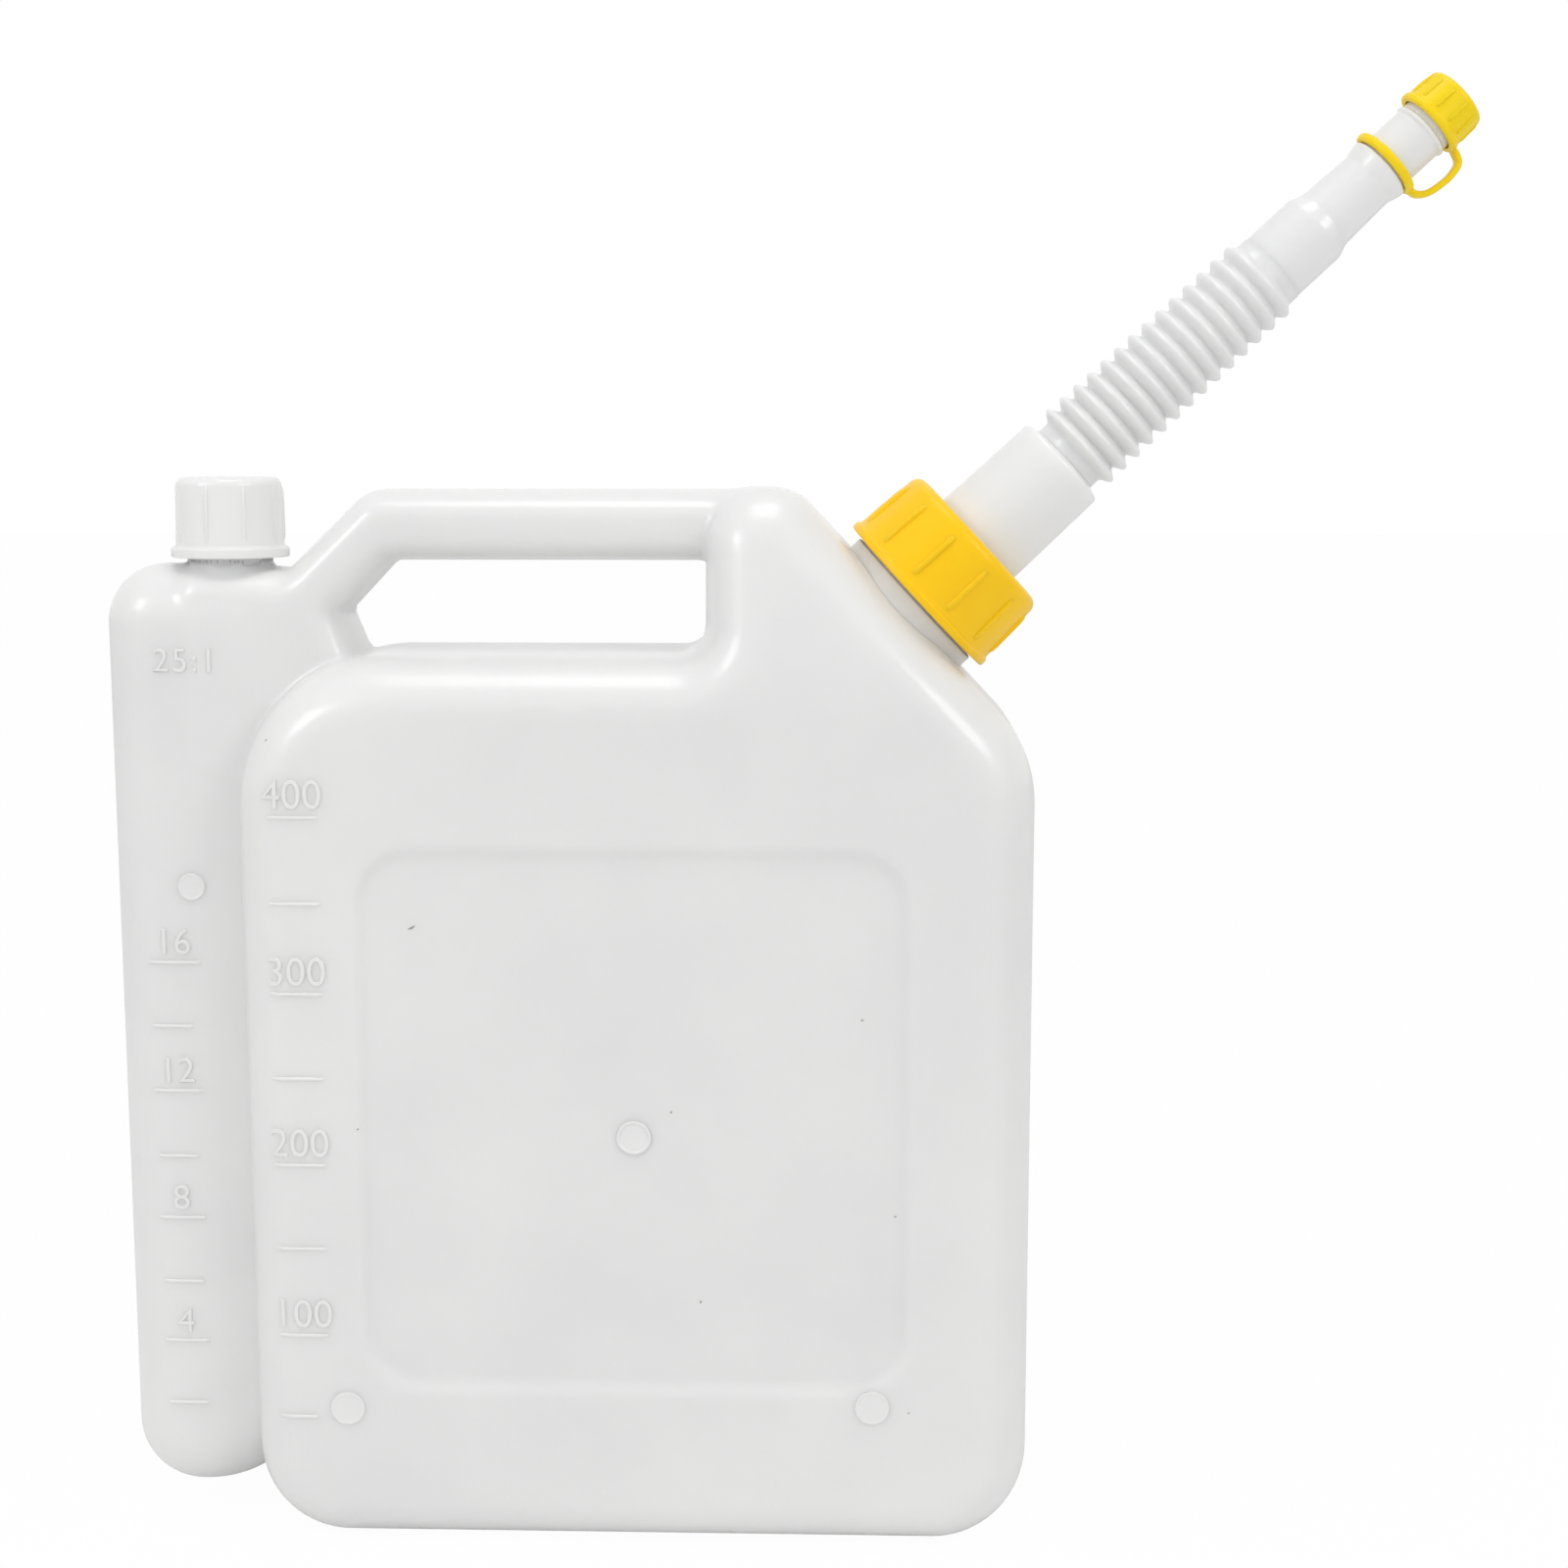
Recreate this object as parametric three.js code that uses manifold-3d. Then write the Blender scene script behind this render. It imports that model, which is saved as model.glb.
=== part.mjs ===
// Fuel mixing bottle: a blown tank with an oil column, a hollow handle, a screwed-on bendable spout and
// its tip closure. Millimetres, +Z up. The origin is the middle of the tank's flat base, +X points to the
// spout and the large faces look along Y.
import * as THREE from 'three';
import { mergeVertices } from 'three/addons/utils/BufferGeometryUtils.js';
import Module from 'manifold-3d';

// Tank
const TANK_WIDTH = 114.5;
const TANK_DEPTH = 38;
const TANK_TOP = 131.8;
const TANK_SIDE_ROUND = 7.4;
const TANK_FACE_ROUND = 10;
const BASE_CORNER_RADIUS = 14;
const TOP_LEFT_RADIUS = 22;
const SLOPE_END_RADIUS = 19;
const WALL = 1.2;

// Shoulder above the tank, with the slope that carries the spout. The neck's axis meets the slope at a
// point measured in from the tank's right side and up from its top.
const SHOULDER_HEIGHT = 23.5;
const SHOULDER_TOP_FLAT = 0.9;
const SHOULDER_CORNER_EXTRA = 0.6;
const FILLET_RADIUS = 4.4;
const NECK_TILT = THREE.MathUtils.degToRad(43);
const NECK_INSET = 18.6;
const NECK_RISE = 6.1;
const LEAN_DROP = 5.8;
const LEAN_RATE = 0.0105;

// Recessed panel on both large faces, with a round gate mark
const PANEL_SIDE_MARGIN = 19.25;
const PANEL_BOTTOM_MARGIN = 26.6;
const PANEL_TOP_MARGIN = 28.4;
const PANEL_RADIUS = 7;
const PANEL_SLANT = 2.2;
const PANEL_DEPTH = 0.9;
const GATE_MARK_DIAMETER = 4.9;
const GATE_MARK_HEIGHT = 0.3;
const GATE_MARK_DROP = 2.4;

// Oil column at the left of the tank
const COLUMN_REACH = 21.1;
const COLUMN_DEPTH = 17;
const COLUMN_FACE_FLAT = 0.6;
const COLUMN_BOTTOM = 3.2;
const COLUMN_RISE = 12.4;
const COLUMN_BOTTOM_EXTRA = 2;
const COLUMN_FOOT_EXTRA = 9.3;
const COLUMN_TOP_EXTRA = 0.4;
const WEB_OVERLAP = 7;

// Handle and finger gap. Their places are measured in from the tank's left side and up from its top.
const HANDLE_DEPTH = 17;
const HANDLE_DROP = 0.3;
const HANDLE_BAR = 10.2;
const HANDLE_EDGE_FLAT = 2.2;
const HANDLE_FACE_FLAT = 4;
const HANDLE_CORNER_EXTRA = 0.3;
const HANDLE_KNEE_INSET = 18.1;
const HANDLE_KNEE_EXTRA = 1.7;
const NOTCH_INSET = 6.2;
const NOTCH_DROP = 0.7;
const NOTCH_RADIUS = 1.5;
const GAP_KNEE_INSET = 21.4;
const GAP_KNEE_RADIUS = 3;
const GAP_LEFT_INSET = 14.4;
const GAP_LEFT_RISE = 5.6;
const GAP_LEFT_RADIUS = 0.6;

// How far the handle's ends reach into the bodies that they grow from
const BAR_SINK = 2;
const DUCT_SINK = 8;
const LEG_SINK = 4.6;
const LEG_SINK_INSET = 18.5;
const LEG_FOOT_INSET = 6.4;
const LEG_FOOT_SPREAD = 4;

// Tank neck, gasket and spout collar, measured along the neck's axis from the slope
const NECK_RADIUS = 11.8;
const NECK_THREAD_DEPTH = 0.6;
const NECK_WALL = 1.6;
const NECK_HEIGHT = 9.4;
const NECK_BEAD_HEIGHT = 2;
const SEAT_CLEARANCE = 0.3;
const GASKET_THICKNESS = 1.4;
const GASKET_LIP = 1;
const COLLAR_START = 2.3;
const COLLAR_THREAD_CLEARANCE = 0.3;
const COLLAR_WALL = 1.3;
const COLLAR_TAPER = 0.65;
const COLLAR_ROUND = 1.8;
const COLLAR_TOP_WALL = 1.3;
const COLLAR_FLANGE_WIDTH = 0.4;
const COLLAR_FLANGE_HEIGHT = 1.1;
const COLLAR_RIB_COUNT = 12;
const COLLAR_RIB_WIDTH = 0.7;
const COLLAR_RIB_HEIGHT = 0.35;
const COLLAR_RIB_LENGTH = 6.8;
const COLLAR_RIB_GAP = 1.3;
const FLANGE_CLEARANCE = 0.7;
const TUBE_CLEARANCE = 0.4;

// Spout, from its flange to the bare end under the tip cap
const SPOUT_WALL = 1;
const SPOUT_FLANGE_THICKNESS = 1.5;
const BASE_TUBE_RADIUS = 7.65;
const BASE_TUBE_END_RADIUS = 7.3;
const BASE_LENGTH = 19.9;
const BASE_LIP_OVERLAP = 0.2;
const BELLOWS_LENGTH = 39.6;
const BELLOWS_TURNS = 14;
const BELLOWS_CREST_RADIUS = 7;
const BELLOWS_CREST_END_RADIUS = 6.5;
const BELLOWS_TROUGH_RADIUS = 5.5;
const BELLOWS_LEAD_IN = 1.6;
const MID_TUBE_RADIUS = 5.4;
const MID_TUBE_LENGTH = 8.5;
const STEP_LENGTH = 1;
const NOZZLE_RADIUS = 4.65;
const NOZZLE_END_RADIUS = 4.3;
const NOZZLE_LENGTH = 9.8;
const FLARE_RADIUS = 4.85;
const FLARE_LENGTH = 1;
const TIP_NECK_RADIUS = 4.1;

// Tip closure: ring, strap and cap
const TIP_RING_WIDTH = 1.05;
const TIP_RING_THICKNESS = 1.3;
const TIP_RING_CLEARANCE = 0.25;
const TIP_CAP_GAP = 7;
const TIP_CAP_LENGTH = 5.9;
const TIP_CAP_WALL = 0.6;
const TIP_CAP_TAPER = 0.25;
const TIP_CAP_ROUND = 0.9;
const TIP_CAP_THREAD_CLEARANCE = 0.3;
const TIP_CAP_TOP_WALL = 0.9;
const TIP_CAP_FLANGE_WIDTH = 0.3;
const TIP_CAP_FLANGE_HEIGHT = 0.9;
const TIP_CAP_RIB_COUNT = 12;
const TIP_CAP_RIB_WIDTH = 0.4;
const TIP_CAP_RIB_HEIGHT = 0.22;
const TIP_CAP_RIB_LENGTH = 3;
const TIP_CAP_RIB_GAP = 0.4;
const STRAP_WIDTH = 2.6;
const STRAP_THICKNESS = 1.1;
const STRAP_BULGE = 2.6;
const STRAP_SHOULDER = 0.8;
const STRAP_SHOULDER_SHARE = 0.75;

// Oil neck, oil cap and its liner
const OIL_NECK_INSET = 18;
const OIL_NECK_RADIUS = 6.7;
const OIL_NECK_WALL = 1.6;
const OIL_NECK_HEIGHT = 10;
const OIL_NECK_ROOT_DEPTH = 5;
const OIL_CAP_LIFT = 0.9;
const OIL_CAP_WALL = 0.8;
const OIL_CAP_TAPER = 0.2;
const OIL_CAP_ROUND = 1.4;
const OIL_CAP_TOP_WALL = 1.1;
const OIL_CAP_THREAD_CLEARANCE = 0.3;
const OIL_CAP_FLANGE_WIDTH = 0.7;
const OIL_CAP_FLANGE_HEIGHT = 1.4;
const OIL_CAP_RIB_COUNT = 9;
const OIL_CAP_RIB_WIDTH = 0.5;
const OIL_CAP_RIB_HEIGHT = 0.25;
const OIL_CAP_RIB_LENGTH = 6.8;
const OIL_CAP_RIB_GAP = 1;
const OIL_LINER_THICKNESS = 0.8;
const OIL_LINER_CLEARANCE = 0.4;

// Fineness of the curves, and how far a cut runs past the wall that it opens
const ARC_STEP = THREE.MathUtils.degToRad(12);
const HOLLOW_ARC_STEP = THREE.MathUtils.degToRad(22.5);
const ROUND_SEGMENTS = 4;
const HOLLOW_ROUND_SEGMENTS = 2;
const EDGE_ROUND_STEPS = 3;
const STRAP_STEPS = 20;
const LATHE_SEGMENTS = 36;
const SMALL_LATHE_SEGMENTS = 24;
const BELLOWS_STEPS_PER_TURN = 4;
const BELLOWS_HOLLOW_STEPS_PER_TURN = 2;
const CUT_OVERRUN = 1;

// Places and rounds of the blown body that follow from the sizes above
const TANK_LEFT = -TANK_WIDTH / 2;
const TANK_RIGHT = TANK_WIDTH / 2;
const SHOULDER_TOP = TANK_TOP + SHOULDER_HEIGHT;
const SHOULDER_CORNER_RADIUS = TANK_SIDE_ROUND + SHOULDER_CORNER_EXTRA;
const NECK_ROOT_X = TANK_RIGHT - NECK_INSET;
const NECK_ROOT_Z = TANK_TOP + NECK_RISE;
const SLOPE_TOP_X = NECK_ROOT_X - (SHOULDER_TOP - NECK_ROOT_Z) * Math.tan(NECK_TILT);
const SLOPE_CORNER_REACH = SHOULDER_CORNER_RADIUS * Math.tan((Math.PI / 2 - NECK_TILT) / 2);
const SHOULDER_LEFT = SLOPE_TOP_X - SLOPE_CORNER_REACH - SHOULDER_TOP_FLAT - SHOULDER_CORNER_RADIUS;
const LEAN_START = TANK_TOP - LEAN_DROP;
const PANEL_WIDTH = TANK_WIDTH - 2 * PANEL_SIDE_MARGIN;
const PANEL_TOP = TANK_TOP - PANEL_TOP_MARGIN;
const COLUMN_LEFT = TANK_LEFT - COLUMN_REACH;
const COLUMN_RIGHT = TANK_LEFT + WEB_OVERLAP;
const COLUMN_MIDDLE = (COLUMN_LEFT + TANK_LEFT) / 2;
const COLUMN_TOP = TANK_TOP + COLUMN_RISE;
const COLUMN_ROUND = (COLUMN_DEPTH - COLUMN_FACE_FLAT) / 2;
const COLUMN_BOTTOM_RADIUS = COLUMN_ROUND + COLUMN_BOTTOM_EXTRA;
const COLUMN_FOOT_RADIUS = COLUMN_ROUND + COLUMN_FOOT_EXTRA;
const COLUMN_TOP_RADIUS = COLUMN_ROUND + COLUMN_TOP_EXTRA;
const HANDLE_TOP = SHOULDER_TOP - HANDLE_DROP;
const GAP_TOP = HANDLE_TOP - HANDLE_BAR;
const HANDLE_SIDE_ROUND = (HANDLE_BAR - HANDLE_EDGE_FLAT) / 2;
const HANDLE_FACE_ROUND = (HANDLE_DEPTH - HANDLE_FACE_FLAT) / 2;
const HANDLE_CORNER_RADIUS = HANDLE_SIDE_ROUND + HANDLE_CORNER_EXTRA;
const HANDLE_KNEE_RADIUS = HANDLE_SIDE_ROUND + HANDLE_KNEE_EXTRA;
const BAR_END = SHOULDER_LEFT + SHOULDER_CORNER_RADIUS + BAR_SINK;
const TOP_ARC_START = TANK_TOP - TOP_LEFT_RADIUS;

// Places along the neck's axis and radii around it
const NECK_THREAD_ROOT_RADIUS = NECK_RADIUS - NECK_THREAD_DEPTH;
const NECK_BORE_RADIUS = NECK_THREAD_ROOT_RADIUS - NECK_WALL;
const GASKET_START = NECK_HEIGHT + SEAT_CLEARANCE;
const GASKET_END = GASKET_START + GASKET_THICKNESS;
const GASKET_BORE_RADIUS = NECK_BORE_RADIUS - GASKET_LIP;
const SPOUT_START = GASKET_END + SEAT_CLEARANCE;
const SPOUT_FLANGE_END = SPOUT_START + SPOUT_FLANGE_THICKNESS;
const COLLAR_CEILING = SPOUT_FLANGE_END + SEAT_CLEARANCE;
const COLLAR_END = COLLAR_CEILING + COLLAR_TOP_WALL;
const COLLAR_BORE_RADIUS = NECK_RADIUS + COLLAR_THREAD_CLEARANCE;
const COLLAR_RADIUS = COLLAR_BORE_RADIUS + COLLAR_WALL;
const COLLAR_TOP_RADIUS = COLLAR_RADIUS - COLLAR_TAPER;
const COLLAR_FLANGE_RADIUS = COLLAR_RADIUS + COLLAR_FLANGE_WIDTH;
const COLLAR_FLANGE_END = COLLAR_START + COLLAR_FLANGE_HEIGHT;
const SPOUT_FLANGE_RADIUS = COLLAR_BORE_RADIUS - FLANGE_CLEARANCE;
const BASE_END = SPOUT_START + BASE_LENGTH - SEAT_CLEARANCE;
const BELLOWS_START = BASE_END + SEAT_CLEARANCE;
const BELLOWS_END = BELLOWS_START + BELLOWS_LENGTH;
const NOZZLE_START = BELLOWS_END + SEAT_CLEARANCE;
const MID_TUBE_END = BELLOWS_END + MID_TUBE_LENGTH;
const STEP_END = MID_TUBE_END + STEP_LENGTH;
const FLARE_START = STEP_END + NOZZLE_LENGTH;
const FLARE_END = FLARE_START + FLARE_LENGTH;
const TIP_RING_START = FLARE_END + SEAT_CLEARANCE;
const TIP_RING_END = TIP_RING_START + TIP_RING_THICKNESS;
const TIP_RING_BORE_RADIUS = TIP_NECK_RADIUS + TIP_RING_CLEARANCE;
const TIP_RING_RADIUS = TIP_RING_BORE_RADIUS + TIP_RING_WIDTH;
const TIP_CAP_START = TIP_RING_END + TIP_CAP_GAP;
const TIP_CAP_END = TIP_CAP_START + TIP_CAP_LENGTH;
const TIP_CAP_CEILING = TIP_CAP_END - TIP_CAP_TOP_WALL;
const TIP_CAP_BORE_RADIUS = TIP_NECK_RADIUS + TIP_CAP_THREAD_CLEARANCE;
const TIP_CAP_RADIUS = TIP_CAP_BORE_RADIUS + TIP_CAP_WALL;
const TIP_CAP_TOP_RADIUS = TIP_CAP_RADIUS - TIP_CAP_TAPER;
const TIP_CAP_FLANGE_RADIUS = TIP_CAP_RADIUS + TIP_CAP_FLANGE_WIDTH;
const TIP_CAP_FLANGE_END = TIP_CAP_START + TIP_CAP_FLANGE_HEIGHT;

// Places and radii of the oil neck and what sits on it
const OIL_NECK_X = COLUMN_LEFT + OIL_NECK_INSET;
const OIL_NECK_RIM = COLUMN_TOP + OIL_NECK_HEIGHT;
const OIL_NECK_ROOT = COLUMN_TOP - OIL_NECK_ROOT_DEPTH;
const OIL_NECK_BORE_RADIUS = OIL_NECK_RADIUS - OIL_NECK_WALL;
const OIL_LINER_BOTTOM = OIL_NECK_RIM + SEAT_CLEARANCE;
const OIL_LINER_TOP = OIL_LINER_BOTTOM + OIL_LINER_THICKNESS;
const OIL_CAP_BOTTOM = COLUMN_TOP + OIL_CAP_LIFT;
const OIL_CAP_CEILING = OIL_LINER_TOP + SEAT_CLEARANCE;
const OIL_CAP_TOP = OIL_CAP_CEILING + OIL_CAP_TOP_WALL;
const OIL_CAP_BORE_RADIUS = OIL_NECK_RADIUS + OIL_CAP_THREAD_CLEARANCE;
const OIL_LINER_RADIUS = OIL_CAP_BORE_RADIUS - OIL_LINER_CLEARANCE;
const OIL_CAP_RADIUS = OIL_CAP_BORE_RADIUS + OIL_CAP_WALL;
const OIL_CAP_TOP_RADIUS = OIL_CAP_RADIUS - OIL_CAP_TAPER;
const OIL_CAP_FLANGE_RADIUS = OIL_CAP_RADIUS + OIL_CAP_FLANGE_WIDTH;
const OIL_CAP_FLANGE_END = OIL_CAP_BOTTOM + OIL_CAP_FLANGE_HEIGHT;

const wasm = await Module();
wasm.setup();

// Turns a closed three.js geometry into a solid for joining and cutting.
function toSolid(geometry) {
  const bare = geometry.index ? geometry.clone() : geometry;
  bare.deleteAttribute('normal');
  bare.deleteAttribute('uv');
  const merged = mergeVertices(bare, 1e-4);
  const mesh = new wasm.Mesh({
    numProp: 3,
    vertProperties: new Float32Array(merged.attributes.position.array),
    triVerts: new Uint32Array(merged.index.array),
  });
  return new wasm.Manifold(mesh);
}

// Turns a solid back into a three.js geometry.
function toGeometry(solid) {
  const mesh = solid.getMesh();
  const geometry = new THREE.BufferGeometry();
  geometry.setAttribute('position', new THREE.BufferAttribute(mesh.vertProperties, 3));
  geometry.setIndex(new THREE.BufferAttribute(mesh.triVerts, 1));
  return geometry;
}

function joined(solids) {
  return solids.reduce((whole, next) => whole.add(next));
}

// Points of an outline whose corners, given as [x, z, radius], are rounded by arcs. The sides between the
// points touch the arcs, so an outline drawn inside this one keeps true arcs too.
function roundedOutline(corners, arcStep = ARC_STEP) {
  const points = [];
  corners.forEach(([x, z, radius], i) => {
    const here = new THREE.Vector2(x, z);
    const before = corners[(i + corners.length - 1) % corners.length];
    const after = corners[(i + 1) % corners.length];
    const back = new THREE.Vector2(before[0], before[1]).sub(here).normalize();
    const ahead = new THREE.Vector2(after[0], after[1]).sub(here).normalize();
    const half = Math.acos(THREE.MathUtils.clamp(back.dot(ahead), -1, 1)) / 2;
    const reach = radius / Math.tan(half);
    const middle = back.clone().add(ahead).normalize().multiplyScalar(radius / Math.sin(half)).add(here);
    const first = back.clone().multiplyScalar(reach).add(here).sub(middle);
    const turn = (Math.PI - 2 * half) * Math.sign(back.cross(ahead)) * -1;
    const steps = Math.max(2, Math.ceil(Math.abs(turn) / arcStep));
    const step = turn / steps;
    first.divideScalar(Math.cos(step / 2));
    for (let k = 0; k < steps; k += 1) {
      const point = first.clone().rotateAround(new THREE.Vector2(), step * (k + 0.5));
      points.push(point.add(middle));
    }
  });
  return points;
}

// A flat body with rounded edges, centred on Y = 0. The edge starts sideRound inside the outline and
// faceRound behind the face, and inset shrinks the whole outline.
function pillow(outline, depth, sideRound, faceRound, inset = 0, segments = ROUND_SEGMENTS) {
  const geometry = new THREE.ExtrudeGeometry(new THREE.Shape(outline), {
    depth: depth - 2 * faceRound,
    bevelThickness: faceRound,
    bevelSize: sideRound,
    bevelOffset: -sideRound - inset,
    bevelSegments: segments,
    steps: 1,
  });
  geometry.translate(0, 0, faceRound - depth / 2);
  geometry.rotateX(Math.PI / 2);
  return toSolid(geometry);
}

function pillowSolid(corners, depth, sideRound, faceRound) {
  return pillow(roundedOutline(corners), depth, sideRound, faceRound);
}

// The same body, shrunk by the wall on every side.
function pillowHollow(corners, depth, sideRound, faceRound) {
  const outline = roundedOutline(corners, HOLLOW_ARC_STEP);
  const innerDepth = depth - 2 * WALL;
  return pillow(outline, innerDepth, sideRound - WALL, faceRound - WALL, WALL, HOLLOW_ROUND_SEGMENTS);
}

// A turned body from its profile of [radius, height] points, with its axis on Z.
function turned(profile, segments = LATHE_SEGMENTS) {
  const points = profile.map(([radius, height]) => new THREE.Vector2(radius, height));
  const geometry = new THREE.LatheGeometry(points, segments);
  geometry.rotateX(Math.PI / 2);
  return geometry;
}

// Moves a body made along +Z from the origin onto the neck's axis, with its start on the slope.
function placeOnNeck(geometry) {
  geometry.rotateY(Math.PI / 2 - NECK_TILT);
  geometry.translate(NECK_ROOT_X, 0, NECK_ROOT_Z);
  return geometry;
}

function moved(geometry, x, y, z) {
  geometry.translate(x, y, z);
  return geometry;
}

// Tank and shoulder in one outline, seen from the front.
function tankCorners() {
  const slopeEnd = NECK_ROOT_Z - NECK_INSET / Math.tan(NECK_TILT);
  return [
    [TANK_LEFT, 0, BASE_CORNER_RADIUS],
    [TANK_RIGHT, 0, BASE_CORNER_RADIUS],
    [TANK_RIGHT, slopeEnd, SLOPE_END_RADIUS],
    [SLOPE_TOP_X, SHOULDER_TOP, SHOULDER_CORNER_RADIUS],
    [SHOULDER_LEFT, SHOULDER_TOP, SHOULDER_CORNER_RADIUS],
    [SHOULDER_LEFT, TANK_TOP, FILLET_RADIUS],
    [TANK_LEFT, TANK_TOP, TOP_LEFT_RADIUS],
  ];
}

// The column reaches into the tank, so that its faces run flush up to the tank's side.
function columnCorners() {
  return [
    [COLUMN_LEFT, COLUMN_BOTTOM, COLUMN_BOTTOM_RADIUS],
    [COLUMN_RIGHT, COLUMN_BOTTOM, COLUMN_FOOT_RADIUS],
    [COLUMN_RIGHT, COLUMN_TOP, COLUMN_TOP_RADIUS],
    [COLUMN_LEFT, COLUMN_TOP, COLUMN_TOP_RADIUS],
  ];
}

// Handle bar, its sloping left leg and the widened column top. Its ends lie inside the column, the tank
// and the shoulder.
function handleCorners() {
  return [
    [COLUMN_MIDDLE, TOP_ARC_START + LEG_FOOT_SPREAD, HANDLE_CORNER_RADIUS],
    [TANK_LEFT + LEG_FOOT_INSET, TOP_ARC_START - LEG_FOOT_SPREAD, HANDLE_CORNER_RADIUS],
    [TANK_LEFT + LEG_SINK_INSET, TANK_TOP - LEG_SINK, HANDLE_CORNER_RADIUS],
    [TANK_LEFT + GAP_LEFT_INSET, TANK_TOP + GAP_LEFT_RISE, GAP_LEFT_RADIUS],
    [TANK_LEFT + GAP_KNEE_INSET, GAP_TOP, GAP_KNEE_RADIUS],
    [BAR_END, GAP_TOP, HANDLE_CORNER_RADIUS],
    [BAR_END, HANDLE_TOP, HANDLE_CORNER_RADIUS],
    [TANK_LEFT + HANDLE_KNEE_INSET, HANDLE_TOP, HANDLE_KNEE_RADIUS],
    [TANK_LEFT + NOTCH_INSET, COLUMN_TOP - NOTCH_DROP, NOTCH_RADIUS],
    [COLUMN_MIDDLE, COLUMN_TOP, HANDLE_CORNER_RADIUS],
  ];
}

// The duct through which the handle's hollow reaches the shoulder's.
function ductCorners() {
  const ductStart = SHOULDER_LEFT - DUCT_SINK;
  return [
    [ductStart, GAP_TOP, HANDLE_CORNER_RADIUS],
    [BAR_END, GAP_TOP, HANDLE_CORNER_RADIUS],
    [BAR_END, HANDLE_TOP, HANDLE_CORNER_RADIUS],
    [ductStart, HANDLE_TOP, HANDLE_CORNER_RADIUS],
  ];
}

// Draws the shoulder's faces together towards its top, as the real shoulder leans back.
function leaned(solid) {
  const reach = 4 * TANK_WIDTH;
  const lowBox = new THREE.BoxGeometry(reach, reach, reach);
  lowBox.translate(0, 0, LEAN_START - reach / 2);
  const low = solid.intersect(toSolid(lowBox));
  const high = toGeometry(solid.subtract(toSolid(lowBox)));
  const position = high.attributes.position;
  for (let i = 0; i < position.count; i += 1) {
    const rise = Math.max(0, position.getZ(i) - LEAN_START);
    position.setY(i, position.getY(i) * (1 - LEAN_RATE * rise));
  }
  return low.add(toSolid(high));
}

// The panel's recess, slanted all round, at a depth measured in from a face of the given half depth.
function panelCut(halfDepth, side) {
  const outline = roundedOutline([
    [-PANEL_WIDTH / 2, PANEL_BOTTOM_MARGIN, PANEL_RADIUS],
    [PANEL_WIDTH / 2, PANEL_BOTTOM_MARGIN, PANEL_RADIUS],
    [PANEL_WIDTH / 2, PANEL_TOP, PANEL_RADIUS],
    [-PANEL_WIDTH / 2, PANEL_TOP, PANEL_RADIUS],
  ]);
  const height = PANEL_DEPTH + CUT_OVERRUN;
  const geometry = new THREE.ExtrudeGeometry(new THREE.Shape(outline), {
    depth: CUT_OVERRUN,
    bevelThickness: height,
    bevelSize: (height * PANEL_SLANT) / PANEL_DEPTH,
    bevelOffset: 0,
    bevelSegments: 1,
    steps: 1,
  });
  geometry.rotateX(Math.PI / 2);
  geometry.computeBoundingBox();
  const near = side < 0 ? geometry.boundingBox.max.y : geometry.boundingBox.min.y;
  geometry.translate(0, side * (halfDepth - PANEL_DEPTH) - near, 0);
  return toSolid(geometry);
}

// The round mark that stands in the panel.
function gateMark(side) {
  const radius = GATE_MARK_DIAMETER / 2;
  const height = GATE_MARK_HEIGHT + WALL / 2;
  const geometry = new THREE.CylinderGeometry(radius, radius, height, SMALL_LATHE_SEGMENTS);
  const middle = (PANEL_BOTTOM_MARGIN + PANEL_TOP) / 2 - GATE_MARK_DROP;
  const surface = TANK_DEPTH / 2 - PANEL_DEPTH + GATE_MARK_HEIGHT;
  geometry.translate(0, side * (surface - height / 2), middle);
  return toSolid(geometry);
}

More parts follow.
